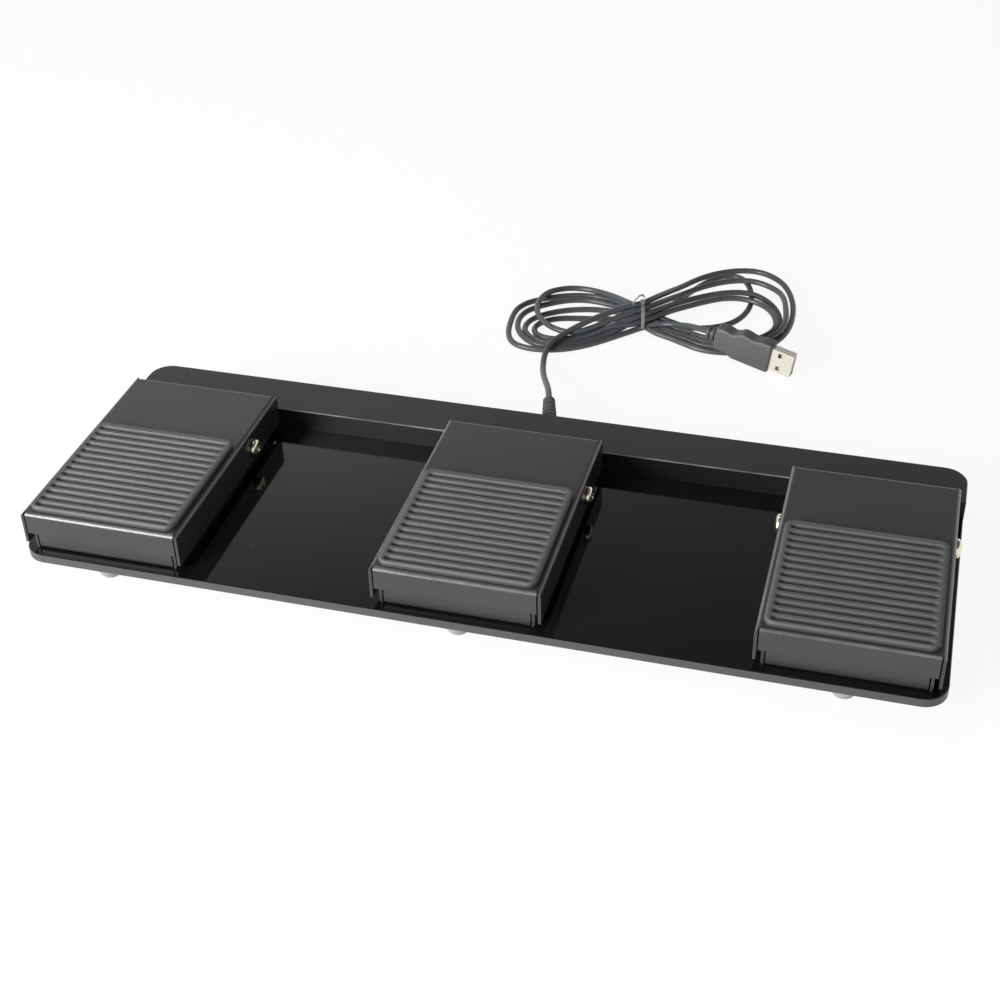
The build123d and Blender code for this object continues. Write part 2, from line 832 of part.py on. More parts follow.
def plug_shell():
    start = plug_length - shell_seat
    end = plug_length + shell_length
    outer = block(
        (start, -shell_width / 2, -shell_thickness / 2),
        (end, shell_width / 2, shell_thickness / 2),
    )
    inner = block(
        (start, -shell_width / 2 + shell_wall, -shell_thickness / 2 + shell_wall),
        (end, shell_width / 2 - shell_wall, shell_thickness / 2 - shell_wall),
    )
    shell = outer - inner
    for side in (-1, 1):
        x = plug_length + shell_window_from_body
        y = side * shell_window_spread / 2
        half = shell_window / 2
        shell -= block((x - half, y - half, -shell_thickness), (x + half, y + half, shell_thickness))
    return shell


def plug_tongue():
    start = plug_length - shell_seat
    half_width = shell_width / 2 - shell_wall
    low = -shell_thickness / 2 + shell_wall
    root = block((start, -half_width, low), (plug_length, half_width, -low))
    end = plug_length + shell_length - tongue_setback
    tongue = block((plug_length, -half_width, low), (end, half_width, low + tongue_thickness))
    return root + tongue


def plug_contacts():
    low = -shell_thickness / 2 + shell_wall + tongue_thickness
    return [
        block(
            (plug_length, y - contact_width / 2, low),
            (plug_length + contact_length, y + contact_width / 2, low + contact_thickness),
        )
        for y in contact_places
    ]


# Cord routes: hand-picked points along the middle of the cord
plug_frame = plug_location()
collar_start = plug_frame.origin - plug_frame.x_dir * collar_length
lead_start = relief_tip + relief_axis * 9
plug_cord_end = collar_start - plug_frame.x_dir * 7
lead_route = [
    tuple(relief_tip),
    tuple(lead_start),
    (-8.6, 114.0, 7.9),
    (-12.9, 126.0, 4.2),
    (-16.0, 137.0, 2.0),
    (-18.0, 146.0, 1.65),
    (-18.3, 153.0, 1.65),
]
plug_route = [
    (waist_exit[0], waist_exit[1], 5.0),
    (waist_exit[0] + 7 * waist_exit_direction[0], waist_exit[1] + 7 * waist_exit_direction[1], 5.0),
    (45.5, 178.6, 8.6),
    tuple(plug_cord_end),
    tuple(collar_start),
]


# Leads from the switches to the board, held in the tray and housing channels
# Each bend is an offset from the start of its stretch
tray_lead_bends = [(-1.5, 10.0, 0.0), (-9.5, 21.0, 0.0)]
tray_lead_ends = [(0.4, -5.0, 0.4), (0.0, 2.5, 0.3)]
left_lead_bends = [(1.5, 5.5, 0.0), (14.0, 6.3, 0.0), (36.0, 4.1, 0.1), (53.0, 5.6, 1.1)]
middle_lead_bends = [(-1.5, 5.0, 0.0), (-12.0, 6.6, 0.2)]
right_lead_bends = [
    (-1.5, 5.5, 0.0),
    (-14.0, 6.1, 0.0),
    (-36.0, 4.1, 0.2),
    (-92.0, 4.7, 0.0),
    (-126.0, 6.3, 0.0),
]
left_board_bend = (-5.0, 0.0, 0.0)
middle_board_bend = (20.0, -0.2, 0.0)
right_board_bend = (19.0, 0.1, -0.4)
inner_cord_board_bend = (13.0, 0.1, 0.2)
inner_cord_bends = [
    (0.0, -5.0, 0.0),
    (-4.3, -10.0, 1.2),
    (-12.8, -9.4, 0.9),
    (-24.8, -5.6, -0.4),
]


def from_start(start, bends):
    return [tuple(start[i] + bend[i] for i in range(3)) for bend in bends]


# The last stretch of a lead: one bend in front of its socket, then the socket's end
def into_socket(end_x, row, bend):
    end = (end_x, housing_middle_y + row * socket_spacing, socket_z)
    return from_start(end, [bend]) + [end]


def lead_to_housing(center):
    floor_z = tray_floor + lead_diameter / 2 + fit_clearance
    start_y = switch_middle_y + terminal_spacing + terminal_width / 2 + fit_clearance
    start = (center + switch_offset, start_y, floor_z)
    tray_end = (center, tray_heel, floor_z)
    return [start] + from_start(start, tray_lead_bends) + from_start(tray_end, tray_lead_ends)


low_z = base_top + lead_diameter / 2 + fit_clearance
left_end = board_left - fit_clearance
right_end = board_right + fit_clearance
housing_leads = {
    "left": from_start((-pedal_pitch, housing_front, low_z), left_lead_bends)
    + into_socket(left_end, 0, left_board_bend),
    "middle": from_start((0, housing_front, low_z), middle_lead_bends)
    + into_socket(right_end, -1, middle_board_bend),
    "right": from_start((pedal_pitch, housing_front, low_z), right_lead_bends)
    + into_socket(right_end, 0, right_board_bend),
}
inner_cord_start = (cord_exit_x, base_width / 2 - housing_wall - relief_flange_thickness, cord_exit_z)
inner_cord_route = [inner_cord_start] + from_start(inner_cord_start, inner_cord_bends)
inner_cord_route += into_socket(right_end, 1, inner_cord_board_bend)


def export_node(name, pieces):
    if not isinstance(pieces, list):
        pieces = [pieces]
    solids = [solid for piece in pieces for solid in piece.solids()]
    export_step(solids[0] if len(solids) == 1 else Compound(children=solids), f"parts/{name}.step")


def write_parts():
    os.makedirs("parts", exist_ok=True)
    export_node("base_plate", base_plate())
    export_node("rubber_feet", rubber_feet())
    export_node("rear_housing", rear_housing())
    tray_screw_tip = tray_floor + fixing_nut_height + 0.4
    housing_screw_tip = base_top + housing_screw_bite
    tray_screws = []
    tray_nuts = []
    pivot_screws = []
    pivot_nuts = []
    pivot_spacers = []
    switch_screws = []
    for name, center in pedal_centers.items():
        place = Pos(center, 0, 0)
        export_node(f"pedal_cover_{name}", place * pedal_cover())
        export_node(f"rubber_pad_{name}", place * rubber_pad())
        export_node(f"pedal_tray_{name}", place * pedal_tray())
        export_node(f"return_spring_{name}", place * return_spring())
        export_node(f"switch_case_{name}", place * switch_case())
        export_node(f"switch_plunger_{name}", place * switch_plunger())
        export_node(f"switch_bracket_{name}", place * switch_bracket())
        for x, y in fixing_spots:
            nut = hexagon_nut(fixing_nut_across_flats, fixing_nut_height, fixing_bore)
            tray_screws.append(countersunk_screw(center + x, y, tray_screw_tip))
            tray_nuts.append(Pos(center + x, y, tray_floor) * nut)
        pivot_screws += [place * piece for piece in on_both_sides(pivot_screw())]
        pivot_nuts += [place * piece for piece in on_both_sides(pivot_nut())]
        pivot_spacers += [place * piece for piece in on_both_sides(pivot_spacer())]
        switch_screws += [place * switch_screw(side) for side in (-1, 1)]
        route = lead_to_housing(center) + housing_leads[name]
        export_node(f"switch_lead_{name}", routed_tube(f"switch_lead_{name}", route, lead_diameter))
    export_node("tray_screws", tray_screws)
    export_node("tray_nuts", tray_nuts)
    export_node("pivot_screws", pivot_screws)
    export_node("pivot_nuts", pivot_nuts)
    export_node("pivot_spacers", pivot_spacers)
    export_node("switch_screws", switch_screws)
    export_node("housing_screws", [countersunk_screw(x, y, housing_screw_tip) for x, y in housing_spots])
    export_node("control_board", control_board())
    export_node("board_screws", [board_screw(x, y) for x, y in board_spots])
    export_node("processor_chip", processor_chip())
    export_node("board_sockets", board_sockets())
    export_node("inner_cord", routed_tube("inner_cord", inner_cord_route, cord_diameter))
    export_node("strain_relief", strain_relief())
    export_node("usb_cord", routed_tube("usb_cord", lead_route, cord_diameter))
    export_node("cord_hank", cord_hank())
    export_node("cord_tie", cord_tie())
    export_node("plug_cord", routed_tube("plug_cord", plug_route, cord_diameter))
    export_node("plug_body", plug_frame * plug_body())
    export_node("plug_shell", plug_frame * plug_shell())
    export_node("plug_tongue", plug_frame * plug_tongue())
    export_node("plug_contacts", [plug_frame * piece for piece in plug_contacts()])


write_parts()
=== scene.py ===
import math

import bmesh
import bpy
from mathutils import Matrix, Vector


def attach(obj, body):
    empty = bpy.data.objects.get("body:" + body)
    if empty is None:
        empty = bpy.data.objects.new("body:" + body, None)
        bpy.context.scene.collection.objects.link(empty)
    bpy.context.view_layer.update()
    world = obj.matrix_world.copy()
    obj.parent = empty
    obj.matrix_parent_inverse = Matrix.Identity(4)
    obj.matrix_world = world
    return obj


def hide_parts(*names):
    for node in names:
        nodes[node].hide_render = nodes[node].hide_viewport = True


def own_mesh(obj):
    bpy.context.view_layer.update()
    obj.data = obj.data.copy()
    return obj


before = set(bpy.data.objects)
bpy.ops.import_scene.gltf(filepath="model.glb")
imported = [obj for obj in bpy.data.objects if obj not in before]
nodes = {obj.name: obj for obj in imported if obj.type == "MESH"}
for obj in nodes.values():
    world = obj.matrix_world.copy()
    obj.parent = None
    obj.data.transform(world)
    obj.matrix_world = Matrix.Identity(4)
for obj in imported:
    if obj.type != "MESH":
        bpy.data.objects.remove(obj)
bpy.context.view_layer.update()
scene = bpy.context.scene
scene.view_settings.view_transform = "Standard"
mm = 0.001
# where the middle of each pedal lies along the base
pedalCenters = {"left": -152.0, "middle": 0.0, "right": 152.0}
sides = tuple(pedalCenters)
print("frame loaded")


# a socket with the sums that the materials need
class Wire:
    def __init__(self, graph, socket):
        self.graph = graph
        self.socket = socket

    def sum(self, operation, *values):
        inputs = {index: value for index, value in enumerate(values)}
        return self.graph.add("ShaderNodeMath", {"operation": operation}, inputs)

    def __add__(self, other):
        return self.sum("ADD", self, other)

    def __radd__(self, other):
        return self.sum("ADD", other, self)

    def __sub__(self, other):
        return self.sum("SUBTRACT", self, other)

    def __rsub__(self, other):
        return self.sum("SUBTRACT", other, self)

    def __mul__(self, other):
        return self.sum("MULTIPLY", self, other)

    def __rmul__(self, other):
        return self.sum("MULTIPLY", other, self)

    def __truediv__(self, other):
        return self.sum("DIVIDE", self, other)

    def __rtruediv__(self, other):
        return self.sum("DIVIDE", other, self)

    def __pow__(self, other):
        return self.sum("POWER", self, other)

    def __abs__(self):
        return self.sum("ABSOLUTE", self)

    def atLeast(self, other):
        return self.sum("MAXIMUM", self, other)

    def atMost(self, other):
        return self.sum("MINIMUM", self, other)


# one way to add any node: its settings first, then its sockets
class Graph:
    def __init__(self, tree):
        self.tree = tree
        tree.nodes.clear()

    def socket(self, sockets, key):
        if isinstance(key, int):
            return sockets[key]
        return next(socket for socket in sockets if socket.name == key and socket.enabled)

    def add(self, kind, settings=None, inputs=None, out=0):
        node = self.tree.nodes.new(kind)
        for key, value in (settings or {}).items():
            if key == "stops":
                self.setStops(node.color_ramp, value)
            else:
                setattr(node, key, value)
        for key, value in (inputs or {}).items():
            target = self.socket(node.inputs, key)
            if isinstance(value, Wire):
                self.tree.links.new(value.socket, target)
            else:
                target.default_value = value
        if not node.outputs:
            return None
        return Wire(self, self.socket(node.outputs, out))

    def setStops(self, ramp, stops):
        while len(ramp.elements) < len(stops):
            ramp.elements.new(0.5)
        for element, (place, color) in zip(ramp.elements, stops):
            element.position = place
            element.color = color

    def axis(self, vector, name):
        return self.add("ShaderNodeSeparateXYZ", inputs={0: vector}, out=name)


def grey(value, warmth=0.0):
    return (value * (1 + warmth), value, value * (1 - warmth), 1.0)


class Finish(Graph):
    def __init__(self, name, **sockets):
        self.material = bpy.data.materials.new(name)
        self.material.use_nodes = True
        super().__init__(self.material.node_tree)
        self.sockets = sockets
        self.place = self.add("ShaderNodeTexCoord", out="Object")

    def noise(self, scale, detail=3.0, roughness=0.5):
        inputs = {"Vector": self.place, "Scale": scale, "Detail": detail, "Roughness": roughness}
        return self.add("ShaderNodeTexNoise", inputs=inputs)

    def ramp(self, value, stops):
        return self.add("ShaderNodeValToRGB", {"stops": stops}, {0: value})

    def between(self, value, low, high, fromLow=0.0, fromHigh=1.0):
        inputs = {0: value, 1: fromLow, 2: fromHigh, 3: low, 4: high}
        return self.add("ShaderNodeMapRange", inputs=inputs)

    def mix(self, factor, first, second):
        inputs = {"Factor": factor, "A": first, "B": second}
        return self.add("ShaderNodeMix", {"data_type": "RGBA"}, inputs, "Result")

    def bump(self, height, distance, strength):
        inputs = {"Height": height, "Distance": distance, "Strength": strength}
        return self.add("ShaderNodeBump", inputs=inputs)

    # 1 where the surface faces up, 0 on a side, -1 below
    def facing(self):
        return self.axis(self.add("ShaderNodeTexCoord", out="Normal"), "Z")

    # 1 on a bend or a chamfer between an upper face and a side, 0 on both; a painted highlight is laid there
    def foldHighlight(self, start, end):
        up = self.facing().atLeast(0.0)
        return self.between(up * (1 - up * up).atLeast(0.0) ** 0.5, 0.0, 1.0, start, end)

    def finish(self, **sockets):
        shader = self.add("ShaderNodeBsdfPrincipled", inputs={**self.sockets, **sockets})
        self.add("ShaderNodeOutputMaterial", inputs={"Surface": shader})
        return self.material


def dress(material, *names):
    for name in names:
        for place in nodes[name].material_slots:
            place.material = material


# the mesh that a piece's modifier makes takes the place of both
def applyModifier(piece, modifier):
    bpy.context.view_layer.update()
    grown = piece.evaluated_get(bpy.context.evaluated_depsgraph_get())
    plain = bpy.data.meshes.new_from_object(grown)
    piece.modifiers.remove(modifier)
    piece.data = plain
    return plain


# a tree of geometry nodes with named inputs for its sizes
class Grower(Graph):
    def __init__(self, name, sizes):
        super().__init__(bpy.data.node_groups.new(name, "GeometryNodeTree"))
        interface = self.tree.interface
        interface.new_socket("Geometry", in_out="OUTPUT", socket_type="NodeSocketGeometry")
        interface.new_socket("Geometry", in_out="INPUT", socket_type="NodeSocketGeometry")
        self.sizes = sizes
        self.identifiers = {}
        for key, value in sizes.items():
            kind = "NodeSocketInt" if isinstance(value, int) else "NodeSocketFloat"
            made = interface.new_socket(key, in_out="INPUT", socket_type=kind)
            self.identifiers[key] = made.identifier
        self.group = self.tree.nodes.new("NodeGroupInput")

    def size(self, key):
        return Wire(self, self.socket(self.group.outputs, key))

    def vector(self, x=0.0, y=0.0, z=0.0):
        return self.add("ShaderNodeCombineXYZ", inputs={0: x, 1: y, 2: z})

    def grow(self, name, geometry, material, start=None):
        real = self.add("GeometryNodeRealizeInstances", inputs={0: geometry})
        painted = self.add("GeometryNodeSetMaterial", inputs={"Geometry": real, "Material": material})
        self.add("NodeGroupOutput", inputs={0: painted})
        piece = bpy.data.objects.new(name, start or bpy.data.meshes.new(name))
        scene.collection.objects.link(piece)
        modifier = piece.modifiers.new(name, "NODES")
        modifier.node_group = self.tree
        for key, value in self.sizes.items():
            modifier[self.identifiers[key]] = value
        applyModifier(piece, modifier).name = name
        return piece


# smooth faces, with sharp edges where they turn by more than the crease
def smoothFaces(mesh, crease):
    limit = math.radians(crease)
    for edge in mesh.edges:
        edge.smooth = len(edge.link_faces) == 2 and edge.calc_face_angle(0.0) < limit
    for face in mesh.faces:
        face.smooth = True


# a mesh drawn in millimetres becomes a piece in metres
def makePiece(name, mesh, material, crease=35.0):
    bmesh.ops.remove_doubles(mesh, verts=mesh.verts, dist=0.0005)
    bmesh.ops.recalc_face_normals(mesh, faces=mesh.faces)
    bmesh.ops.scale(mesh, vec=(mm, mm, mm), verts=mesh.verts)
    smoothFaces(mesh, crease)
    data = bpy.data.meshes.new(name)
    mesh.to_mesh(data)
    mesh.free()
    data.materials.append(material)
    piece = bpy.data.objects.new(name, data)
    scene.collection.objects.link(piece)
    return piece


def creaseAgain(piece, crease=35.0):
    mesh = bmesh.new()
    mesh.from_mesh(piece.data)
    smoothFaces(mesh, crease)
    mesh.to_mesh(piece.data)
    mesh.free()


# another mesh, moved by a matrix, becomes part of this one
def joinInto(mesh, other, matrix):
    bmesh.ops.transform(other, matrix=matrix, verts=other.verts)
    data = bpy.data.meshes.new("joined")
    other.to_mesh(data)
    other.free()
    mesh.from_mesh(data)
    bpy.data.meshes.remove(data)


def settle(piece, slot, body, *replaced):
    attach(piece, body)
    if replaced:
        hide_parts(*replaced)
    return piece


# a shape turned about the upright axis from (radius, height) points
def turnedShape(profile, steps=48):
    mesh = bmesh.new()
    rings = []
    for radius, height in profile:
        count = 1 if radius == 0 else steps
        angles = [2 * math.pi * index / steps for index in range(count)]
        rings.append([mesh.verts.new((radius * math.cos(a), radius * math.sin(a), height)) for a in angles])
    for low, high in zip(rings, rings[1:]):
        for index in range(steps):
            here = (low[index % len(low)], low[(index + 1) % len(low)])
            above = (high[(index + 1) % len(high)], high[index % len(high)])
            corners = list(dict.fromkeys(here + above))
            if len(corners) > 2:
                mesh.faces.new(corners)
    return mesh


# the (radius, height) points of a ring whose outer edges are rounded by the drop, reach and cut
def ringProfile(radius, half, middle=0.0, drop=0.45, reach=0.45, cut=0.14):
    lower = [(0, -half), (radius - drop, -half), (radius - cut, -half + cut), (radius, -half + reach)]
    upper = [(across, -height) for across, height in reversed(lower)]
    return [(across, middle + height) for across, height in lower + upper]


# joins rings of corners into a skin, with a lid at each end unless the rings close on themselves
def skinRings(mesh, rings, closed=False):
    made = [[mesh.verts.new(corner) for corner in ring] for ring in rings]
    pairs = list(zip(made, made[1:]))
    if closed:
        pairs.append((made[-1], made[0]))
    for first, second in pairs:
        for index in range(len(first)):
            after = (index + 1) % len(first)
            mesh.faces.new((first[index], first[after], second[after], second[index]))
    if not closed:
        mesh.faces.new(list(reversed(made[0])))
        mesh.faces.new(made[-1])


def roundedOutline(halfWidth, halfHeight, corner, steps=6):
    outline = []
    for quarter, (sx, sy) in enumerate(((1, 1), (-1, 1), (-1, -1), (1, -1))):
        for step in range(steps + 1):
            angle = math.radians(90 * quarter + 90 * step / steps)
            x = sx * (halfWidth - corner) + corner * math.cos(angle)
            y = sy * (halfHeight - corner) + corner * math.sin(angle)
            outline.append((x, y))
    return outline


# copies of one shape set at spots, each turned and sized by the spot's own attributes
def setCopies(name, shape, spots, material, turns=None, sizes=None):
    start = bpy.data.meshes.new(name + " spots")
    start.from_pydata([tuple(value * mm for value in spot) for spot in spots], [], [])
    turnValues = start.attributes.new("turn", "FLOAT_VECTOR", "POINT")
    sizeValues = start.attributes.new("size", "FLOAT_VECTOR", "POINT")
    for index in range(len(spots)):
        turnValues.data[index].vector = turns[index] if turns else (0, 0, 0)
        sizeValues.data[index].vector = sizes[index] if sizes else (1, 1, 1)
    tree = Grower(name, {"Scale": 1.0})

    def stored(key):
        settings = {"data_type": "FLOAT_VECTOR"}
        return tree.add("GeometryNodeInputNamedAttribute", settings, {"Name": key}, "Attribute")

    pattern = tree.add("GeometryNodeObjectInfo", inputs={"Object": shape}, out="Geometry")
    turned = tree.add("FunctionNodeEulerToRotation", inputs={0: stored("turn")})
    sizing = {0: stored("size"), "Scale": tree.size("Scale")}
    sized = tree.add("ShaderNodeVectorMath", {"operation": "SCALE"}, sizing)
    copies = tree.add("GeometryNodeInstanceOnPoints", inputs={
        "Points": Wire(tree, tree.group.outputs["Geometry"]),
        "Instance": pattern,
        "Rotation": turned,
        "Scale": sized,
    })
    piece = tree.grow(name, copies, material, start)
    bpy.data.objects.remove(shape)
    return piece


# the camera stands where the photograph was taken from
view = {
    "target": (-3.94, 13.54, 9.3),
    "azimuth": 16.19,
    "elevation": 35.87,
    "roll": -1.396,
    "distance": 713.84,
    "lens": 59.27,
    "sensor": 36.0,
}


def placeCamera():
    azimuth, elevation, roll = (math.radians(view[key]) for key in ("azimuth", "elevation", "roll"))
    back = Vector((
        math.sin(azimuth) * math.cos(elevation),
        -math.cos(azimuth) * math.cos(elevation),
        math.sin(elevation),
    ))
    level = Vector((math.cos(azimuth), math.sin(azimuth), 0))
    upright = back.cross(level)
    right = level * math.cos(roll) + upright * math.sin(roll)
    up = upright * math.cos(roll) - level * math.sin(roll)
    camera = bpy.data.objects.new("camera", bpy.data.cameras.new("camera"))
    camera.data.lens = view["lens"]
    camera.data.sensor_width = view["sensor"]
    camera.data.clip_start = 0.02
    place = (Vector(view["target"]) + back * view["distance"]) * mm
    camera.matrix_world = Matrix.Translation(place) @ Matrix((right, up, back)).transposed().to_4x4()
    scene.collection.objects.link(camera)
    scene.camera = camera


placeCamera()
print("camera placed")

# white floor and surroundings, soft lamps
studio = {
    "floorSize": 8.0,
    "floorDrop": 0.0004,
    "floorColor": 0.90,
    "floorGlow": 0.91,
    "skyLight": 0.42,
    "skyHigh": 0.09,
    "skyRight": 0.45,
    "highFrom": (0.47, 0.70),
    "rightFrom": (-0.34, -0.06),
    "rightAbove": (0.40, 0.52),
    "softUpward": (1.0, 0.45),
    "softBackward": (1.3, 0.7),
    "lamps": {
        "front": {"place": (-0.80, -1.05, 0.36), "size": 0.9, "power": 44.0},
        "key": {"place": (-0.9, -0.3, 1.15), "size": 1.0, "power": 1.5},
        "rear": {"place": (-0.7, 0.7, 1.8), "size": 0.8, "power": 6.0},
    },
}


# 1 for what the camera, a mirror or clear plastic sees, 0 for what lights the scene
def seenWhite(graph):
    kinds = ("Camera", "Glossy", "Transmission")
    rays = [graph.add("ShaderNodeLightPath", out=f"Is {kind} Ray") for kind in kinds]
    return (rays[0] + rays[1] + rays[2]).atMost(1.0)


def layFloor():
    half = studio["floorSize"] / 2
    mesh = bpy.data.meshes.new("floor")
    low = -studio["floorDrop"]
    corners = [(-half, -half, low), (half, -half, low), (half, half, low), (-half, half, low)]
    mesh.from_pydata(corners, [], [(0, 1, 2, 3)])
    floor = bpy.data.objects.new("floor", mesh)
    scene.collection.objects.link(floor)
    paper = Finish("white paper floor")
    plain = paper.add("ShaderNodeBsdfDiffuse", inputs={"Color": grey(studio["floorColor"])})
    glow = paper.add("ShaderNodeEmission", inputs={"Color": grey(1.0), "Strength": 1.0})
    share = seenWhite(paper) * studio["floorGlow"]
    shader = paper.add("ShaderNodeMixShader", inputs={0: share, 1: plain, 2: glow})
    paper.add("ShaderNodeOutputMaterial", inputs={"Surface": shader})
    mesh.materials.append(paper.material)


# a room that is bright round the table, darker overhead and on the right
def paintSky():
    world = bpy.data.worlds.new("studio")
    scene.world = world
    world.use_nodes = True
    sky = Graph(world.node_tree)

    def fade(value, edges, first, last):
        inputs = {0: value, 1: edges[0], 2: edges[1], 3: first, 4: last}
        return sky.add("ShaderNodeMapRange", {"interpolation_type": "SMOOTHSTEP"}, inputs)

    seen = seenWhite(sky)
    camera = sky.add("ShaderNodeLightPath", out="Is Camera Ray")
    direction = sky.add("ShaderNodeTexCoord", out="Generated")
    height = sky.axis(direction, "Z")
    overhead = fade(height, studio["highFrom"], 0.0, 1.0)
    right = fade(sky.axis(direction, "X"), studio["rightFrom"], 1.0, studio["skyRight"])
    above = fade(height, studio["rightAbove"], 0.0, 1.0)
    mirrored = (1 - overhead) * (1 - (1 - right) * above) + overhead * studio["skyHigh"]
    upward = fade(height, (0.0, 1.0), *studio["softUpward"])
    backward = fade(sky.axis(direction, "Y"), (-1.0, 1.0), *studio["softBackward"])
    soft = upward * backward * studio["skyLight"]
    strength = seen * (camera + (1 - camera) * mirrored) + (1 - seen) * soft
    shader = sky.add("ShaderNodeBackground", inputs={"Color": grey(1.0), "Strength": strength})
    sky.add("ShaderNodeOutputWorld", inputs={"Surface": shader})


def hangLamps():
    for name, lamp in studio["lamps"].items():
        light = bpy.data.lights.new(name, "AREA")
        light.shape = "DISK"
        light.size = lamp["size"]
        light.energy = lamp["power"]
        place = Vector(lamp["place"])
        turn = place.to_track_quat("Z", "Y").to_matrix().to_4x4()
        holder = bpy.data.objects.new(name, light)
        holder.matrix_world = Matrix.Translation(place) @ turn
        scene.collection.objects.link(holder)


layFloor()
paintSky()
hangLamps()
print("studio lit")

# finishes
def glossyAcrylic():
    sheet = Finish("black glossy acrylic", **{"IOR": 1.49})
    sawn = sheet.between(abs(sheet.facing()), 1.0, 0.0, 0.2, 0.7)
    wash = sheet.noise(9.0, 2.0)
    cells = {"Vector": sheet.place, "Scale": 55.0}
    speck = sheet.add("ShaderNodeTexVoronoi", {"feature": "F1"}, cells, "Distance")
    rare = sheet.noise(23.0, 1.0)
    dust = sheet.between(speck, 1.0, 0.0, 0.012, 0.03) * sheet.between(rare, 0.0, 1.0, 0.52, 0.6)
    deep = sheet.ramp(wash, [(0.35, grey(0.0045)), (0.65, grey(0.0062))])
    color = sheet.mix(dust * 0.6, deep, grey(0.12))
    color = sheet.mix(sawn, color, grey(0.044))
    rub = sheet.noise(420.0, 2.0)
    rough = sheet.between(wash, 0.04, 0.085, 0.3, 0.7) + dust * 0.3 + sawn * 0.3
    height = sheet.noise(30.0, 1.0) + rub * sawn * 0.25
    return sheet.finish(**{
        "Base Color": color,
        "Roughness": rough,
        "Normal": sheet.bump(height, 0.00004, 0.35),
    })


def satinHousing():
    bar = Finish("satin black housing", **{"IOR": 1.46})
    grain = bar.noise(2600.0, 2.0, 0.6)
    sweep = bar.noise(7.0, 2.0)
    color = bar.ramp(sweep, [(0.3, grey(0.006)), (0.7, grey(0.009))])
    # painted highlight: a lighter colour along the chamfer between the top and the sides, broken up by noise
    edge = bar.foldHighlight(0.3, 0.48) * bar.between(bar.noise(60.0, 2.0), 0.4, 1.0, 0.35, 0.6)
    color = bar.mix(edge, color, grey(0.17))
    rough = bar.between(grain, 0.30, 0.40, 0.3, 0.7) + bar.between(sweep, -0.02, 0.03, 0.3, 0.7)
    return bar.finish(**{
        "Base Color": color,
        "Roughness": rough,
        "Normal": bar.bump(grain + sweep * 3.0, 0.00003, 0.3),
    })


def powderCoat(name, value, low, high):
    coat = Finish(name, **{"IOR": 1.5})
    peel = coat.noise(520.0, 2.0, 0.5)
    fine = coat.noise(3200.0, 2.0, 0.6)
    cloud = coat.noise(18.0, 2.0)
    color = coat.ramp(cloud, [(0.3, grey(value * 0.9)), (0.7, grey(value * 1.08))])
    # painted highlight: a lighter colour along the bends between the top and the flanges, broken up by noise
    foldHighlight = coat.foldHighlight(0.36, 0.49) * coat.between(coat.noise(90.0, 2.0), 0.55, 1.0, 0.35, 0.6)
    color = coat.mix(foldHighlight, color, grey(0.11))
    rough = coat.between(peel, low, high, 0.3, 0.7)
    return coat.finish(**{
        "Base Color": color,
        "Roughness": rough,
        "Normal": coat.bump(peel + fine * 0.3, 0.000006, 0.05),
    })


def padRubber():
    rubber = Finish("dark grey pad rubber", **{"IOR": 1.5})
    # painted shade: a much darker colour down in the grooves, the rubber's own grey on top of the ribs
    ribbed = rubber.between(rubber.axis(rubber.place, "Z"), 0.0, 1.0, 0.0294, 0.0307)
    cloud = rubber.noise(40.0, 3.0)
    grain = rubber.noise(1500.0, 3.0, 0.6)
    rib = rubber.ramp(cloud, [(0.3, grey(0.072, -0.05)), (0.7, grey(0.088, -0.05))])
    color = rubber.mix(ribbed, grey(0.022, -0.05), rib)
    rough = rubber.between(grain, 0.54, 0.68, 0.3, 0.7)
    return rubber.finish(**{
        "Base Color": color,
        "Roughness": rough,
        "Normal": rubber.bump(grain, 0.00006, 0.4),
    })


def footRubber():
    rubber = Finish("clear grey foot rubber", **{"IOR": 1.5, "Transmission Weight": 0.25})
    cloud = rubber.noise(160.0, 3.0)
    color = rubber.ramp(cloud, [(0.3, grey(0.24, 0.02)), (0.7, grey(0.32, 0.03))])
    return rubber.finish(**{
        "Base Color": color,
        "Roughness": rubber.between(cloud, 0.22, 0.36, 0.3, 0.7),
        "Normal": rubber.bump(rubber.noise(900.0), 0.00004, 0.3),
    })


def platedMetal(name, color, dark, low, high, relief=0.12):
    metal = Finish(name, **{"Metallic": 1.0})
    cloud = metal.noise(240.0, 3.0)
    lines = metal.noise(1400.0, 2.0)
    tint = metal.ramp(cloud, [(0.3, (*dark, 1.0)), (0.7, (*color, 1.0))])
    return metal.finish(**{
        "Base Color": tint,
        "Roughness": metal.between(lines, low, high, 0.3, 0.7),
        "Normal": metal.bump(lines, 0.00001, relief),
    })


def mouldedPlastic(name, value, warmth=0.0, low=0.34, high=0.5):
    plastic = Finish(name, **{"IOR": 1.47})
    cloud = plastic.noise(60.0, 2.0)
    grain = plastic.noise(2200.0, 2.0, 0.6)
    color = plastic.ramp(cloud, [(0.3, grey(value * 0.93, warmth)), (0.7, grey(value * 1.07, warmth))])
    return plastic.finish(**{
        "Base Color": color,
        "Roughness": plastic.between(grain, low, high, 0.3, 0.7),
        "Normal": plastic.bump(grain, 0.00004, 0.35),
    })


def circuitBoard():
    board = Finish("green circuit board", **{"IOR": 1.5})
    cells = {"Vector": board.place, "Scale": 420.0}
    edge = board.add("ShaderNodeTexVoronoi", {"feature": "DISTANCE_TO_EDGE"}, cells, "Distance")
    track = board.between(edge, 1.0, 0.0, 0.05, 0.09)
    color = board.mix(track, (0.010, 0.075, 0.028, 1.0), (0.022, 0.15, 0.06, 1.0))
    return board.finish(**{
        "Base Color": color,
        "Roughness": board.between(track, 0.32, 0.24),
        "Normal": board.bump(track, 0.00003, 0.5),
    })


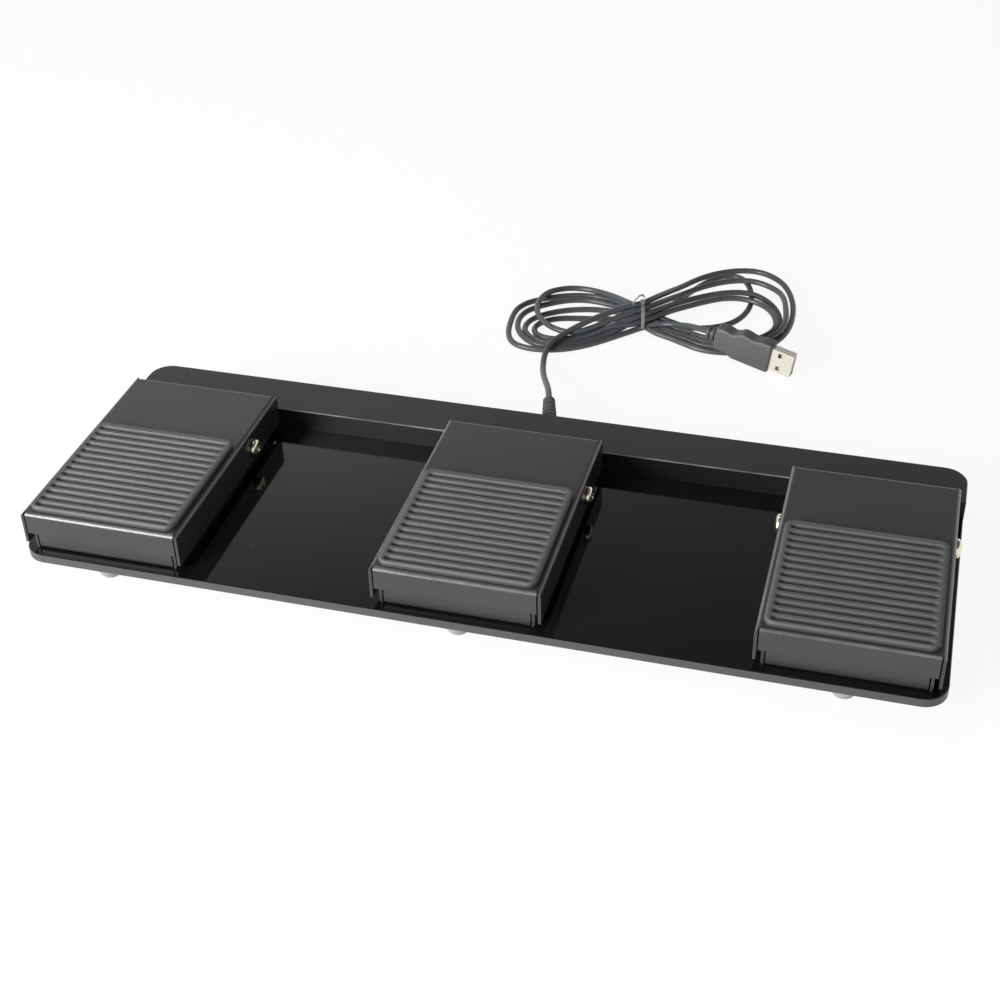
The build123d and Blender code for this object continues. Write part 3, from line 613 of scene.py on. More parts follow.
def vinylFinish(name, value):
    vinyl = Finish(name, **{"IOR": 1.48})
    speck = vinyl.noise(1300.0, 2.0)
    wave = vinyl.noise(35.0, 2.0)
    color = vinyl.ramp(wave, [(0.3, grey(value * 0.9, -0.08)), (0.7, grey(value * 1.1, -0.08))])
    rough = vinyl.between(speck, 0.30, 0.42, 0.3, 0.7)
    return vinyl.finish(**{
        "Base Color": color,
        "Roughness": rough,
        "Normal": vinyl.bump(speck + wave * 0.5, 0.00004, 0.4),
    })


def clearFilm():
    film = Finish("milky tie film", **{"IOR": 1.45, "Transmission Weight": 0.45})
    cloud = film.noise(300.0, 2.0)
    return film.finish(**{
        "Base Color": film.ramp(cloud, [(0.3, grey(0.22)), (0.7, grey(0.30))]),
        "Roughness": film.between(cloud, 0.25, 0.4, 0.3, 0.7),
        "Normal": film.bump(cloud, 0.00005, 0.4),
    })


steel = platedMetal("zinc plated steel", (0.60, 0.60, 0.58), (0.50, 0.50, 0.48), 0.26, 0.40)
nickel = platedMetal("yellowed nickel", (0.86, 0.80, 0.62), (0.70, 0.64, 0.47), 0.16, 0.28)
springSteel = platedMetal("spring steel", (0.45, 0.45, 0.46), (0.36, 0.36, 0.37), 0.22, 0.34)
shellMetal = platedMetal("tinned plug shell", (0.80, 0.78, 0.68), (0.78, 0.76, 0.66), 0.27, 0.32, 0.04)
goldMetal = platedMetal("gold contact", (0.90, 0.66, 0.28), (0.80, 0.57, 0.22), 0.18, 0.28)
moulding = mouldedPlastic("grey black moulding", 0.064, -0.03, 0.42, 0.58)

dress(glossyAcrylic(), "base_plate")
dress(satinHousing(), "rear_housing")
coverPaint = powderCoat("black powder coat", 0.025, 0.27, 0.31)
trayPaint = powderCoat("black tray paint", 0.024, 0.31, 0.36)
switchPlastic = mouldedPlastic("black switch case", 0.020)
leadVinyl = vinylFinish("grey lead vinyl", 0.16)
plungerPlastic = mouldedPlastic("ivory plunger", 0.62, 0.05)
for side in sides:
    dress(coverPaint, f"pedal_cover_{side}")
    dress(trayPaint, f"pedal_tray_{side}")
    dress(switchPlastic, f"switch_case_{side}")
    dress(steel, f"switch_bracket_{side}")
    dress(leadVinyl, f"switch_lead_{side}")
    dress(plungerPlastic, f"switch_plunger_{side}")
dress(steel, "tray_screws", "tray_nuts", "housing_screws", "switch_screws", "board_screws")
dress(nickel, "pivot_nuts")
dress(mouldedPlastic("natural nylon", 0.60, 0.04), "pivot_spacers")
dress(circuitBoard(), "control_board")
dress(mouldedPlastic("black chip case", 0.015, 0.0, 0.4, 0.6), "processor_chip")
dress(mouldedPlastic("white socket plastic", 0.70, 0.02), "board_sockets")
dress(shellMetal, "plug_shell")
dress(mouldedPlastic("white tongue plastic", 0.72, 0.01), "plug_tongue")
dress(goldMetal, "plug_contacts")
print("finishes made")

# the cord: out of the relief, five turns of a tied figure eight, and on to the plug
cordSizes = {
    "diameter": 3.0,
    "length": 1.976,
    "exit": (-1.95, 93.5, 11.55),
    "rest": 1.6,
    "waist": (22.9, 192.0),
    "heading": 14.0,
    "reaches": (-6, 0, 6),
}

# where the strands lie in the tied waist: across it and up, left of the tie, in it and right of it
intoRight = [
    [(1, 11.2), (1.5, 12), (8.2, 11.3)],
    [(-2.8, 9.2), (-1, 10.2), (4.3, 9.6)],
    [(-5.5, 7), (-3, 7.6), (-0.4, 8.5)],
    [(-7.3, 4.5), (-4.6, 4.9), (-3.2, 6.5)],
    [(-4.2, 3.9), (-1.6, 4.6), (4.5, 4)],
    [(-9, 1.8), (-6.3, 2.4), (-6.2, 4.2)],
]
intoLeft = {
    "a": [(5.6, 9.8), (3, 8.4), (1.9, 5.2)],
    "b": [(7.2, 7), (3.6, 5.9), (-1.2, 3.4)],
    "c": [(6.4, 3.9), (1.5, 3.6), (-4.4, 1.8)],
    "d": [(3.6, 2.4), (-0.1, 2.3), (-7.6, 1.6)],
    "e": [(0.6, 1.9), (-3.3, 2.3), (-10.4, 1.6)],
}
leadPoints = [
    (-1.95, 93.5, 11.55), (-4.2, 102.2, 10.92), (-8.6, 114, 7.9), (-12.9, 126, 4.2),
    (-16, 137, 2.4), (-17.6, 147, 3.2), (-17, 155, 5), (-14.2, 161.7, 5), (-9.5, 168.3, 6.2),
    (-3.5, 174.7, 7.8), (3, 181.2, 8.9), (9.7, 186.6, 10),
]
rightTurns = [
    [
        (32, 217, 7.5), (36.2, 229.5, 4), (43.5, 246, 1.6), (53, 255, 1.6), (63, 260, 1.6),
        (72.5, 261.3, 1.6), (80.5, 258, 1.6), (87.5, 251.5, 1.6), (92.5, 242, 1.6), (96, 230, 1.6),
        (97.5, 218, 1.6), (97.5, 206, 1.6), (95.5, 195, 1.6), (90.5, 184.5, 1.6), (83, 176.5, 1.6),
        (74, 172.8, 1.6), (63, 171.5, 1.6), (55, 172.6, 1.6), (47, 176.5, 1.6), (38.5, 180.7, 1.6),
    ],
    [
        (33.3, 209.5, 7.3), (38.2, 218.5, 5.6), (47, 231, 4.7), (56, 238.5, 4.7),
        (65.5, 243.3, 4.7), (74, 244.5, 4.4), (82, 242, 3.6), (88, 236.5, 3.8), (91.5, 228, 4.6),
        (93.8, 217, 4.7), (95.3, 205, 4.7), (93.5, 194, 4.6), (88.5, 185.5, 4.2), (80, 178.5, 2.2),
        (69.5, 175.6, 1.6), (58, 176.5, 1.6), (47.5, 180.2, 1.6), (38.7, 184, 1.6),
    ],
    [
        (34.5, 203.5, 6.9), (40, 212, 5.3), (48.5, 220.2, 4.8), (57, 226.3, 4.7),
        (65.5, 229.8, 4.7), (73.3, 230.8, 4.4), (80, 229.5, 3), (85.7, 225.5, 1.7),
        (90, 217.5, 1.6), (92.7, 206.5, 1.6), (93, 196, 1.6), (89.5, 187.5, 1.6), (81, 181.8, 1.6),
        (70, 179, 1.6), (58.5, 180, 1.6), (48.3, 183.5, 1.6), (39.5, 187.2, 1.6),
    ],
    [
        (35.3, 199, 5.9), (40.8, 205.8, 5.1), (47, 211.5, 4.9), (54.5, 218, 4.8),
        (62.7, 222.7, 4.8), (71.5, 223.6, 4.7), (78.7, 222, 4.1), (85, 216.8, 4.2),
        (89.5, 208, 4.6), (91.2, 198, 4.6), (88.5, 190.5, 4.2), (80.5, 185.2, 2.4),
        (70, 182.6, 1.6), (59, 183.6, 1.6), (49.5, 187, 1.6), (41, 190.6, 1.6),
    ],
    [
        (34, 212, 1.7), (41.5, 230, 1.6), (49.5, 245.5, 1.6), (56.4, 252.3, 1.6), (63.5, 253, 1.6),
        (68.5, 248.5, 1.6), (72, 240.5, 1.6), (74.2, 231, 1.6), (74.7, 222.5, 1.6),
        (73.4, 213.5, 1.6), (70.4, 205.8, 1.6), (65.5, 199.5, 1.6), (57.5, 194.5, 1.6),
        (48.5, 192.3, 1.6), (39.5, 193.5, 2.6),
    ],
]
leftTurns = {
    "a": [
        (7.5, 207, 6), (-0.5, 212.7, 4.5), (-7, 216.5, 3.4), (-14, 218.1, 3), (-20.5, 217.4, 3),
        (-26, 214.4, 3.2), (-30.3, 208.4, 4.4), (-32.6, 201.3, 4.8), (-33.2, 193.9, 4.8),
        (-31.5, 186.1, 4.8), (-28.2, 179.4, 4.8), (-23.7, 174.1, 4.8), (-18, 170.2, 4.8),
        (-12, 168.3, 4.8), (-4.5, 170, 5), (3.5, 176.5, 6.2), (10.3, 182.3, 7.7),
    ],
    "b": [
        (6, 208.3, 3.2), (-1.2, 212.5, 1.8), (-9, 213.7, 1.6), (-17, 212.6, 1.6),
        (-26, 209.2, 1.6), (-34, 204, 1.6), (-40, 199, 1.6), (-43.5, 192, 1.6), (-44, 184, 1.6),
        (-43.2, 175, 1.6), (-41.8, 166.5, 1.6), (-39, 159.5, 1.6), (-34.5, 155.2, 1.6),
        (-28, 153.4, 1.6), (-21, 153.5, 1.6), (-13.5, 155.3, 1.6), (-6, 158.7, 1.6),
        (2, 164.5, 1.6), (9.5, 171.8, 1.6),
    ],
    "c": [
        (9.5, 203.2, 3), (3.4, 206, 1.9), (-4, 208.5, 1.6), (-12, 208.6, 1.6), (-20, 206.2, 1.6),
        (-27.2, 201.6, 1.6), (-33.4, 196, 1.6), (-38.2, 190.2, 1.6), (-40, 183, 1.6),
        (-39.2, 174.8, 1.6), (-36.2, 167.6, 1.6), (-31, 161.6, 1.6), (-24.7, 158, 1.6),
        (-17.5, 157.6, 1.6), (-9.5, 160.3, 1.6), (-1.5, 165.8, 1.6), (5.5, 171.8, 2),
        (12, 177.8, 3.1),
    ],
    "d": [
        (10, 199.5, 1.8), (3, 200.3, 1.6), (-4.5, 199.8, 1.6), (-12, 198, 1.6), (-19, 195.2, 1.6),
        (-25.5, 191, 1.6), (-31, 186, 1.6), (-34.6, 179.5, 1.6), (-34.8, 171.8, 1.6),
        (-30.8, 165.2, 1.6), (-24.5, 161.8, 1.6), (-17.5, 161.2, 1.6), (-10.5, 163.8, 1.6),
        (-3.5, 168.4, 2), (4, 174.4, 3.4), (11, 179.8, 5.5),
    ],
    "e": [
        (12, 193.5, 1.6), (5, 191.5, 1.6), (-3.4, 190, 1.6), (-11.2, 188.6, 1.6),
        (-18.8, 186.9, 1.6), (-25, 183.5, 1.6), (-29.2, 178, 1.6), (-29.8, 171.8, 1.6),
        (-26.3, 167, 1.6), (-20, 165, 1.6), (-13, 166.4, 1.6), (-6.5, 169.5, 1.8),
        (-0.5, 172.6, 2.6), (7, 178, 3.8),
    ],
}
tailPoints = [
    (35.5, 188.2, 4.6), (41, 187.2, 5.6), (48.5, 182.4, 8.6), (54.2, 175.8, 11.8),
    (60.26, 172.19, 12.75),
]
# the order in which the cord runs through them: place in the waist, right turn, left turn
windings = [(0, 0, "e"), (2, 2, "c"), (4, 4, "a"), (1, 1, "d"), (3, 3, "b")]


def inWaist(spot, reach):
    across, height = spot
    heading = math.radians(cordSizes["heading"])
    x, y = cordSizes["waist"]
    return (
        x + reach * math.cos(heading) - across * math.sin(heading),
        y + reach * math.sin(heading) + across * math.cos(heading),
        max(cordSizes["rest"], height),
    )


def cordPoints():
    points = list(leadPoints)
    reaches = cordSizes["reaches"]
    for place, right, left in windings:
        points += [inWaist(spot, reach) for spot, reach in zip(intoRight[place], reaches)]
        points += rightTurns[right]
        points += [inWaist(spot, reach) for spot, reach in zip(reversed(intoLeft[left]), reversed(reaches))]
        points += leftTurns[left]
    points += [inWaist(spot, reach) for spot, reach in zip(intoRight[-1], reaches)]
    return points + tailPoints


def cordCurve(name, points, diameter):
    data = bpy.data.curves.new(name, "CURVE")
    data.dimensions = "3D"
    data.resolution_u = 7
    data.bevel_depth = diameter / 2 * mm
    data.bevel_resolution = 5
    data.use_fill_caps = True
    spline = data.splines.new("NURBS")
    spline.points.add(len(points) - 1)
    for point, place in zip(spline.points, points):
        point.co = (place[0] * mm, place[1] * mm, place[2] * mm, 1.0)
    spline.order_u = 3
    spline.use_endpoint_u = True
    piece = bpy.data.objects.new(name, data)
    scene.collection.objects.link(piece)
    return piece


cordVinyl = vinylFinish("black vinyl cord", 0.056)
dress(cordVinyl, "inner_cord")
cordPiece = cordCurve("cord", cordPoints(), cordSizes["diameter"])
cordPiece.data.materials.append(cordVinyl)
settle(cordPiece, "cord", "base", "usb_cord", "cord_hank", "plug_cord")
print("cord laid")

# tie: a flat band round the strands, its film end bent over into a small loop
tieSizes = {
    "middle": (23.3, 190.5),
    "heading": 14.0,
    "halfAcross": 6.93,
    "low": 0.36,
    "high": 13.95,
    "corner": 4.3,
    "width": 1.8,
    "thickness": 0.5,
    "filmPoints": [
        (0.4, 14.1), (1.0, 15.8), (0.9, 17.5), (-0.2, 18.6), (-1.8, 18.2), (-3.4, 16.4), (-4.7, 14.3),
        (-5.1, 13.3),
    ],
    "filmThickness": 0.3,
}


# a strip that follows a path of (across, up) points round the strands, or (along, up) points beside them
def stripMesh(path, width, thickness, closed, aside=False):
    middle = Vector((*tieSizes["middle"], 0))
    heading = math.radians(tieSizes["heading"])
    along = Vector((math.cos(heading), math.sin(heading), 0))
    across = Vector((-math.sin(heading), math.cos(heading), 0))
    if aside:
        along, across = across, along
    rings = []
    count = len(path)
    for index, (n, z) in enumerate(path):
        before = path[index - 1] if closed or index else path[0]
        after = path[(index + 1) % count] if closed or index < count - 1 else path[-1]
        flow = Vector((after[0] - before[0], after[1] - before[1])).normalized()
        outward = Vector((flow.y, -flow.x))
        ring = []
        for x, y in roundedOutline(width / 2, thickness / 2, thickness * 0.4, 2):
            place = Vector((n, z)) + outward * y
            ring.append(middle + along * x + across * place.x + Vector((0, 0, place.y)))
        rings.append(ring)
    mesh = bmesh.new()
    skinRings(mesh, rings, closed)
    return mesh


# a curve that runs through each point, drawn in short straight steps
def smoothPath(points, steps=5):
    path = []
    count = len(points)
    for index in range(count - 1):
        near = [min(max(index + shift, 0), count - 1) for shift in (-1, 0, 1, 2)]
        p0, p1, p2, p3 = (Vector(points[place]) for place in near)
        for step in range(steps):
            t = step / steps
            path.append(tuple(0.5 * (
                2 * p1 + (p2 - p0) * t + (2 * p0 - 5 * p1 + 4 * p2 - p3) * t ** 2
                + (3 * p1 - p0 - 3 * p2 + p3) * t ** 3
            )))
    path.append(tuple(points[-1]))
    return path


def wrapTie():
    halfHeight = (tieSizes["high"] - tieSizes["low"]) / 2
    center = (tieSizes["high"] + tieSizes["low"]) / 2
    loop = roundedOutline(tieSizes["halfAcross"], halfHeight, tieSizes["corner"], 8)
    path = [(n, z + center) for n, z in loop]
    width = tieSizes["width"]
    plastic = clearFilm()
    band = makePiece("tie_band", stripMesh(path, width, tieSizes["thickness"], True), plastic, 50)
    path = smoothPath(tieSizes["filmPoints"])
    film = makePiece("tie_film", stripMesh(path, width, tieSizes["filmThickness"], False, True), plastic, 50)
    settle(film, "tie_plastic", "base")
    settle(band, "tie_plastic", "base", "cord_tie")
    return band, film


tieBand, tieFilm = wrapTie()
print("tie wrapped")

# plug: a flat moulding that swells past its tail, with two finger hollows on its upper edge
plugSizes = {
    "origin": (65.0, 170.8, 12.1),
    "heading": -16.4,
    "pitch": 7.5,
    "roll": 89.0,
    "thickness": 7.6,
    "corner": 1.5,
    "length": 30.0,
    "endInset": 0.7,
    "endReach": 0.9,
    "endStart": 0.35,
    "collarRadius": 2.4,
    "collarFrom": -5.0,
    "collarTo": 0.3,
    "ringRadius": 3.5,
    "ringHalf": 0.75,
    "ringPlaces": (-4.25, -1.55),
}
# along the plug, then half widths above and below its middle
plugOutline = [
    (0.0, 5.2, 5.2), (0.25, 5.75, 5.75), (0.8, 6.15, 6.15), (1.8, 6.3, 6.3), (4.5, 6.35, 6.3),
    (6.2, 6.3, 6.3), (7.3, 5.95, 6.35), (8.2, 5.75, 6.8), (9.2, 5.8, 7.5), (10.2, 6.1, 7.95),
    (11.3, 6.6, 8.0), (12.3, 7.3, 8.0), (13.2, 7.85, 8.0), (14.2, 8.0, 8.0), (15.6, 7.95, 8.0),
    (17.2, 7.6, 8.0), (18.8, 7.25, 8.0), (20.4, 7.15, 8.0), (22.0, 7.3, 8.0), (23.4, 7.65, 8.0),
    (24.6, 7.95, 8.0), (26.0, 8.0, 8.0), (28.6, 8.0, 8.0), (29.4, 7.9, 7.9), (29.85, 7.6, 7.6),
    (30.0, 7.2, 7.2),
]


def plugMatrix():
    heading, pitch, roll = (math.radians(plugSizes[key]) for key in ("heading", "pitch", "roll"))
    level = math.cos(pitch)
    axis = Vector((level * math.cos(heading), level * math.sin(heading), -math.sin(pitch)))
    towardPedals = Vector((math.sin(heading), -math.cos(heading), 0))
    upward = towardPedals.cross(axis)
    face = upward * math.cos(roll) + towardPedals * math.sin(roll)
    turn = Matrix((axis, face.cross(axis), face)).transposed().to_4x4()
    return Matrix.Translation(plugSizes["origin"]) @ turn


def plugPiece():
    mesh = bmesh.new()
    rings = []
    half = plugSizes["thickness"] / 2
    for along, above, below in plugOutline:
        fromEnd = min(along, plugSizes["length"] - along)
        share = min(1.0, (fromEnd + plugSizes["endStart"]) / plugSizes["endReach"])
        thick = half - plugSizes["endInset"] * (1 - share)
        middle = (above - below) / 2
        outline = roundedOutline((above + below) / 2, thick, plugSizes["corner"], 5)
        rings.append([(along, y + middle, z) for y, z in outline])
    skinRings(mesh, rings)
    start = plugSizes["collarFrom"]
    end = plugSizes["collarTo"]
    radius = plugSizes["collarRadius"]
    profiles = [[(0, start), (radius - 0.5, start), (radius, start + 0.1), (radius, end), (0, end)]]
    for place in plugSizes["ringPlaces"]:
        profiles.append(ringProfile(plugSizes["ringRadius"], plugSizes["ringHalf"], place, 0.5, 0.45, 0.15))
    for profile in profiles:
        joinInto(mesh, turnedShape(profile, 32), Matrix.Rotation(math.pi / 2, 4, "Y"))
    bmesh.ops.transform(mesh, matrix=plugMatrix(), verts=mesh.verts)
    return settle(makePiece("plug_moulding", mesh, moulding), "cord_moulding", "base", "plug_body")


plugMoulding = plugPiece()
print("plug moulded")

# strain relief: flange, neck, collar and a leaning cone with standing rings
reliefSizes = {
    "root": (3.8, 71.3, 13.15),
    "lean": 14.5,
    "droop": 4.0,
    "length": 23.0,
    "coreFrom": -0.6,
    "rootRadius": 3.65,
    "tipRadius": 2.85,
    "coreDrop": 1.45,
    "ringCount": 6,
    "ringHalf": 1.05,
    "collarRadius": 3.8,
    "collarFrom": 70.0,
    "collarTo": 73.0,
    "neckRadius": 2.8,
    "neckFrom": 68.0,
    "flangeRadius": 3.6,
    "flangeFrom": 66.5,
}


def reliefAxis():
    lean = math.radians(reliefSizes["lean"])
    droop = math.radians(reliefSizes["droop"])
    level = math.cos(droop)
    return Vector((-math.sin(lean) * level, math.cos(lean) * level, -math.sin(droop)))


def reliefCore():
    length = reliefSizes["length"]
    root = reliefSizes["rootRadius"] - reliefSizes["coreDrop"]
    tip = reliefSizes["tipRadius"] - reliefSizes["coreDrop"]
    start = reliefSizes["coreFrom"]
    mesh = turnedShape([
        (0, start), (root, start), (tip, length - 0.5), (tip - 0.1, length - 0.1), (tip - 0.3, length),
        (0, length),
    ])
    turn = reliefAxis().to_track_quat("Z", "Y").to_matrix().to_4x4()
    stand = Matrix.Translation(Vector(reliefSizes["root"])) @ turn
    bmesh.ops.transform(mesh, matrix=stand, verts=mesh.verts)
    flange, flangeFrom = reliefSizes["flangeRadius"], reliefSizes["flangeFrom"]
    neck, neckFrom = reliefSizes["neckRadius"], reliefSizes["neckFrom"]
    collar, collarFrom, collarTo = (reliefSizes["collar" + key] for key in ("Radius", "From", "To"))
    stub = turnedShape([
        (0, flangeFrom), (flange, flangeFrom), (flange, neckFrom), (neck, neckFrom), (neck, collarFrom),
        (collar, collarFrom), (collar, collarTo - 0.7), (collar - 0.25, collarTo - 0.2),
        (collar - 0.7, collarTo), (0, collarTo),
    ])
    x, y, z = reliefSizes["root"]
    joinInto(mesh, stub, Matrix.Translation((x, 0, z)) @ Matrix.Rotation(-math.pi / 2, 4, "X"))
    core = makePiece("relief_core", mesh, moulding)
    return settle(core, "cord_moulding", "base", "strain_relief")


def reliefRings():
    axis = reliefAxis()
    root = Vector(reliefSizes["root"])
    radius = reliefSizes["rootRadius"]
    narrowing = reliefSizes["tipRadius"] / radius - 1
    ring = makePiece("ring", turnedShape(ringProfile(radius, reliefSizes["ringHalf"]), 40), moulding)
    count = reliefSizes["ringCount"]
    shares = [(index + 0.5) / count for index in range(count)]
    spots = [tuple(root + axis * (share * reliefSizes["length"])) for share in shares]
    sizes = [(1 + narrowing * share, 1 + narrowing * share, 1) for share in shares]
    turns = [axis.to_track_quat("Z", "Y").to_euler()] * count
    rings = setCopies("relief_rings", ring, spots, moulding, turns, sizes)
    creaseAgain(rings)
    return settle(rings, "cord_moulding", "base")


reliefCore()
reliefRings()
print("strain relief ribbed")

# pads: grooves with round ends pressed into a slab with round corners
padSizes = {
    "Length": 66.0,
    "Width": 65.0,
    "Corner": 4.0,
    "Edge": 0.6,
    "Grooves": 14,
    "Pitch": 4.5,
    "Groove length": 60.0,
    "Groove width": 2.9,
    "Groove depth": 1.5,
    "First groove": 2.25,
    "Thickness": 2.28,
    "Columns": 82,
    "Rows": 177,
}
# where a pad lies on its cover, and how far out its grooves' shoulders reach, as shares of their width
padSeat = {"toe": -65.5, "under": 28.51}
padShares = {"Shoulder start": 0.20, "Shoulder end": 0.54}


def padPiece(side):
    sizes = {
        key: value if isinstance(value, int) else value * mm
        for key, value in padSizes.items()
    }
    sizes["Middle X"] = pedalCenters[side] * mm
    sizes["Middle Y"] = (padSeat["toe"] + padSizes["Length"] / 2) * mm
    sizes["Under"] = padSeat["under"] * mm
    sizes.update(padShares)
    tree = Grower(f"ribbed pad {side}", sizes)
    size = tree.size
    grid = tree.add("GeometryNodeMeshGrid", inputs={
        "Size X": size("Width"),
        "Size Y": size("Length"),
        "Vertices X": size("Columns"),
        "Vertices Y": size("Rows"),
    })
    place = tree.add("GeometryNodeInputPosition")
    x = tree.axis(place, "X")
    y = tree.axis(place, "Y")
    # the corner squares are drawn in to a round corner
    corner = size("Corner")
    overX = (abs(x) - (size("Width") / 2 - corner)).atLeast(0.0)
    overY = (abs(y) - (size("Length") / 2 - corner)).atLeast(0.0)
    reach = (overX * overX + overY * overY) ** 0.5
    pull = 1 - (corner / reach.atLeast(0.00001)).atMost(1.0)
    newX = x - x.sum("SIGN", x) * overX * pull
    newY = y - y.sum("SIGN", y) * overY * pull
    # the outer edge is rounded over
    fromEdge = (corner - reach).atLeast(0.0)
    over = (1 - fromEdge / size("Edge")).atLeast(0.0)
    drop = size("Edge") * (1 - (1 - over * over).atLeast(0.0) ** 0.5)
    # how deep the nearest groove is here
    fromLast = size("Length") / 2 - size("First groove") - y
    row = tree.add("ShaderNodeMath", {"operation": "ROUND"}, {0: fromLast / size("Pitch") - 0.5})
    row = row.atLeast(0.0).atMost(size("Grooves") - 1)
    aside = fromLast - (row + 0.5) * size("Pitch")
    beyond = (abs(x) - (size("Groove length") - size("Groove width")) / 2).atLeast(0.0)
    away = (aside * aside + beyond * beyond) ** 0.5
    reached = away / size("Groove width")
    share = tree.add("ShaderNodeMapRange", {"interpolation_type": "SMOOTHSTEP"}, {
        0: reached, 1: size("Shoulder start"), 2: size("Shoulder end"), 3: 1.0, 4: 0.0,
    })
    high = size("Under") + size("Thickness") - drop - size("Groove depth") * share
    shaped = tree.add("GeometryNodeSetPosition", inputs={
        "Geometry": grid,
        "Position": tree.vector(newX + size("Middle X"), newY + size("Middle Y"), high),
    })
    neighbours = tree.add("GeometryNodeInputMeshEdgeNeighbors")
    settings = {"data_type": "INT", "operation": "EQUAL"}
    rim = tree.add("FunctionNodeCompare", settings, {2: neighbours, 3: 1})
    skirt = size("Edge") - size("Thickness")
    walled = tree.add("GeometryNodeExtrudeMesh", {"mode": "EDGES"}, {
        "Mesh": shaped, "Selection": rim, "Offset": tree.vector(0.0, 0.0, skirt), "Offset Scale": 1.0,
    })
    piece = tree.grow(f"pad_{side}", walled, rubberOfPads)
    mesh = bmesh.new()
    mesh.from_mesh(piece.data)
    bmesh.ops.remove_doubles(mesh, verts=mesh.verts, dist=0.00001)
    bmesh.ops.dissolve_degenerate(mesh, dist=0.00001, edges=mesh.edges)
    bmesh.ops.holes_fill(mesh, edges=[edge for edge in mesh.edges if edge.is_boundary], sides=0)
    bmesh.ops.recalc_face_normals(mesh, faces=mesh.faces)
    smoothFaces(mesh, 50)
    mesh.to_mesh(piece.data)
    mesh.free()
    return settle(piece, "pad_rubber", f"pedal_{side}", f"rubber_pad_{side}")


rubberOfPads = padRubber()
for side in sides:
    padPiece(side)
print("pads ribbed")

# pivot screws: crossed pan heads on a shoulder and a thread, one each side of a pedal
pivotSizes = {
    "headFrom": 35.2,
    "headRadius": 4.0,
    "headHeight": 2.3,
    "shoulderRadius": 2.5,
    "shoulderFrom": 32.0,
    "threadRadius": 2.0,
    "threadDepth": 0.25,
    "threadPitch": 0.7,
    "threadTurns": 7,
    "threadFrom": 26.4,
    "y": 12.1,
    "z": 19.3,
    "crossLength": 4.6,
    "crossWidth": 1.15,
    "crossDepth": 1.5,
    "crossLow": (0.45, 0.85),
    "crossHigh": (1.15, 1.0),
    "spin": 0.35,
    "spinStep": 0.01,
}
# the dome of the head, as shares of its radius and height
pivotDome = [(0.985, 0.42), (0.94, 0.58), (0.85, 0.75), (0.70, 0.88), (0.5, 0.96), (0.25, 0.995), (0, 1.0)]


# the cutter of the crossed recess: two bars that narrow toward the bottom
def crossCutter():
    cutter = bmesh.new()
    height = pivotSizes["headHeight"]
    levels = (
        (height - pivotSizes["crossDepth"], *pivotSizes["crossLow"]),
        (height + 1.0, *pivotSizes["crossHigh"]),
    )
    for turned in (False, True):
        rings = []
        for level, longShare, wideShare in levels:
            x = pivotSizes["crossLength"] / 2 * longShare
            y = pivotSizes["crossWidth"] / 2 * wideShare
            if turned:
                x, y = y, x
            rings.append([(x, y, level), (-x, y, level), (-x, -y, level), (x, -y, level)])
        skinRings(cutter, rings)
    return makePiece("cross", cutter, nickel)


def pivotScrew():
    head = pivotSizes["headFrom"]
    radius = pivotSizes["headRadius"]
    height = pivotSizes["headHeight"]
    tip = pivotSizes["threadFrom"] - head
    shoulderFrom = pivotSizes["shoulderFrom"] - head
    shoulder = pivotSizes["shoulderRadius"]
    thread = pivotSizes["threadRadius"]
    root = thread - pivotSizes["threadDepth"]
    profile = [(0, tip), (thread - 0.4, tip)]
    for turn in range(pivotSizes["threadTurns"]):
        low = tip + 0.3 + turn * pivotSizes["threadPitch"]
        profile += [(root, low), (thread, low + pivotSizes["threadPitch"] / 2)]
    profile += [(root, shoulderFrom), (shoulder, shoulderFrom), (shoulder, 0)]
    profile += [(radius - 0.1, 0), (radius, 0.12), (radius, height * 0.3)]
    profile += [(radius * across, height * up) for across, up in pivotDome]
    screw = makePiece("screw", turnedShape(profile, 40), nickel)
    cross = crossCutter()
    cut = screw.modifiers.new("cross", "BOOLEAN")
    cut.operation = "DIFFERENCE"
    cut.solver = "EXACT"
    cut.use_self = True
    cut.object = cross
    applyModifier(screw, cut)
    bpy.data.objects.remove(cross)
    return screw


def pivotScrews():
    spots = []
    turns = []
    for center in pedalCenters.values():
        for way in (-1, 1):
            spots.append((center + way * pivotSizes["headFrom"], pivotSizes["y"], pivotSizes["z"]))
            spin = Matrix.Rotation(pivotSizes["spin"] + center * pivotSizes["spinStep"], 3, "Z")
            turns.append((Matrix.Rotation(way * math.pi / 2, 3, "Y") @ spin).to_euler())
    screws = setCopies("pivot_pan_screws", pivotScrew(), spots, nickel, turns)
    creaseAgain(screws, 30)
    return settle(screws, "nickel", "base", "pivot_screws")


pivotScrews()
print("pivot screws set")

# feet: low domes under the plate
footSizes = {
    "height": 5.0,
    "radius": 5.6,
    "tip": 2.4,
    "domeHeight": 4.7,
    "bulge": 0.9,
    "rise": 0.8,
    "rings": 10,
    "spots": [(x, y, 0) for x in pedalCenters.values() for y in (-63.8, 63.8)],
}


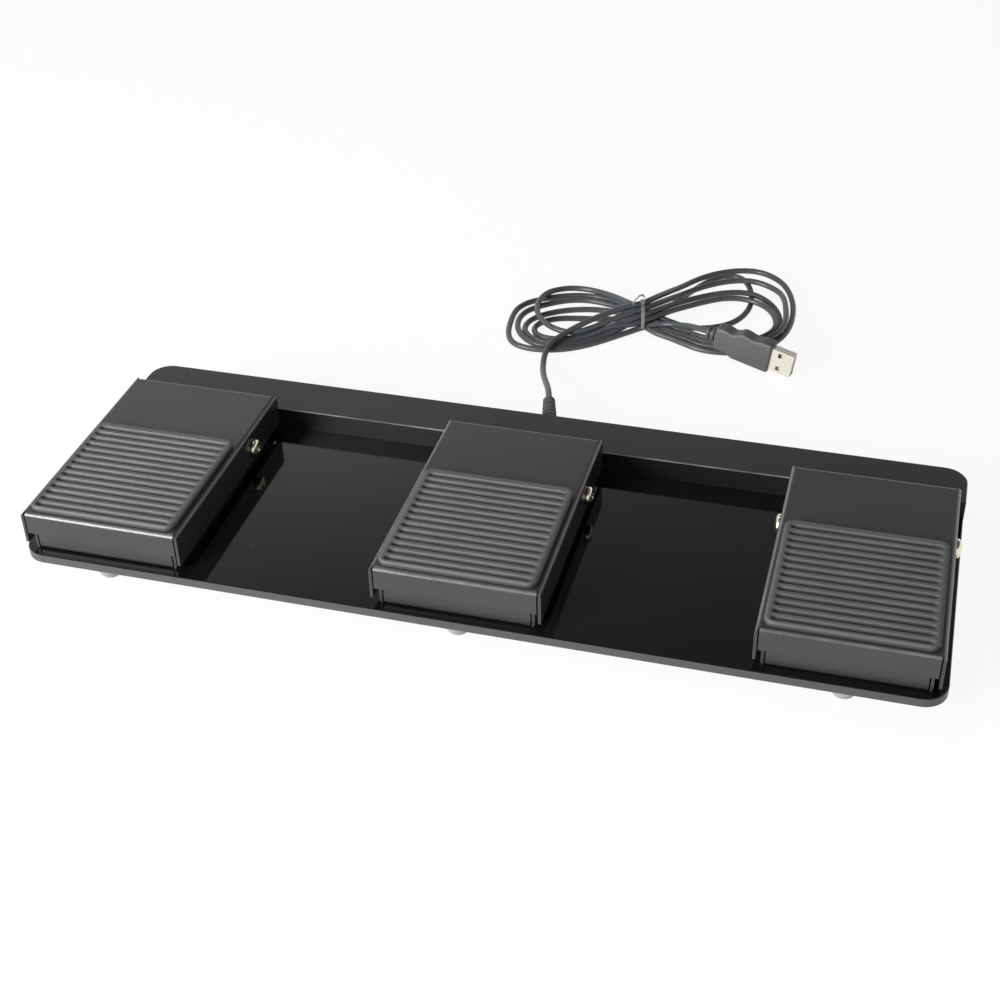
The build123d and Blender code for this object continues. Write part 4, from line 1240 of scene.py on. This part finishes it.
def rubberFeet():
    radius = footSizes["radius"]
    height = footSizes["height"]
    tip = footSizes["tip"]
    profile = [(0, 0)]
    for step in range(footSizes["rings"]):
        angle = step / (footSizes["rings"] - 1) * math.pi / 2
        across = tip + (radius - tip) * math.sin(angle) ** footSizes["bulge"]
        profile.append((across, footSizes["domeHeight"] * (1 - math.cos(angle)) ** footSizes["rise"]))
    profile += [(radius, height - 0.1), (radius - 0.1, height), (0, height)]
    shape = makePiece("foot", turnedShape(profile, 40), clearRubber)
    feet = setCopies("rubber_domes", shape, footSizes["spots"], clearRubber)
    creaseAgain(feet, 40)
    return settle(feet, "foot_rubber", "base", "rubber_feet")


clearRubber = footRubber()
rubberFeet()
print("feet set")

# return springs: a wound wire with closed ends
springSizes = {
    "radius": 4.0,
    "wire": 0.5,
    "turns": 4.5,
    "closed": 0.75,
    "low": 10.55,
    "high": 26.95,
    "y": -29.9,
    "steps": 30,
    "wireSides": 10,
    "closedPitch": 0.95,
    "pressTurn": 0.0471,
    "pressArm": 42.0,
}


def springRings(center):
    closed = springSizes["closed"]
    total = springSizes["turns"] + 2 * closed
    steps = int(total * springSizes["steps"])
    wire = springSizes["wire"]
    low = springSizes["low"] + wire
    flat = wire * springSizes["closedPitch"]
    rise = springSizes["high"] - wire - low - 2 * flat
    around = [2 * math.pi * index / springSizes["wireSides"] for index in range(springSizes["wireSides"])]
    rings = []
    for step in range(steps + 1):
        turn = total * step / steps
        rising = min(max((turn - closed) / (total - 2 * closed), 0.0), 1.0)
        ends = min(turn, closed) / closed + max(turn - total + closed, 0.0) / closed
        outward = Vector((math.cos(2 * math.pi * turn), math.sin(2 * math.pi * turn), 0))
        height = low + rising * rise + ends * flat
        middle = Vector((center, springSizes["y"], height)) + outward * springSizes["radius"]
        up = Vector((0, 0, wire))
        rings.append([middle + outward * (wire * math.cos(a)) + up * math.sin(a) for a in around])
    return rings


def springPiece(side):
    mesh = bmesh.new()
    skinRings(mesh, springRings(pedalCenters[side]))
    piece = makePiece(f"spring_{side}", mesh, springSteel, 60)
    settle(piece, "spring_steel", "base", f"return_spring_{side}")
    bpy.context.view_layer.update()
    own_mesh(piece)
    return piece


for side in sides:
    springPiece(side)
print("springs wound")
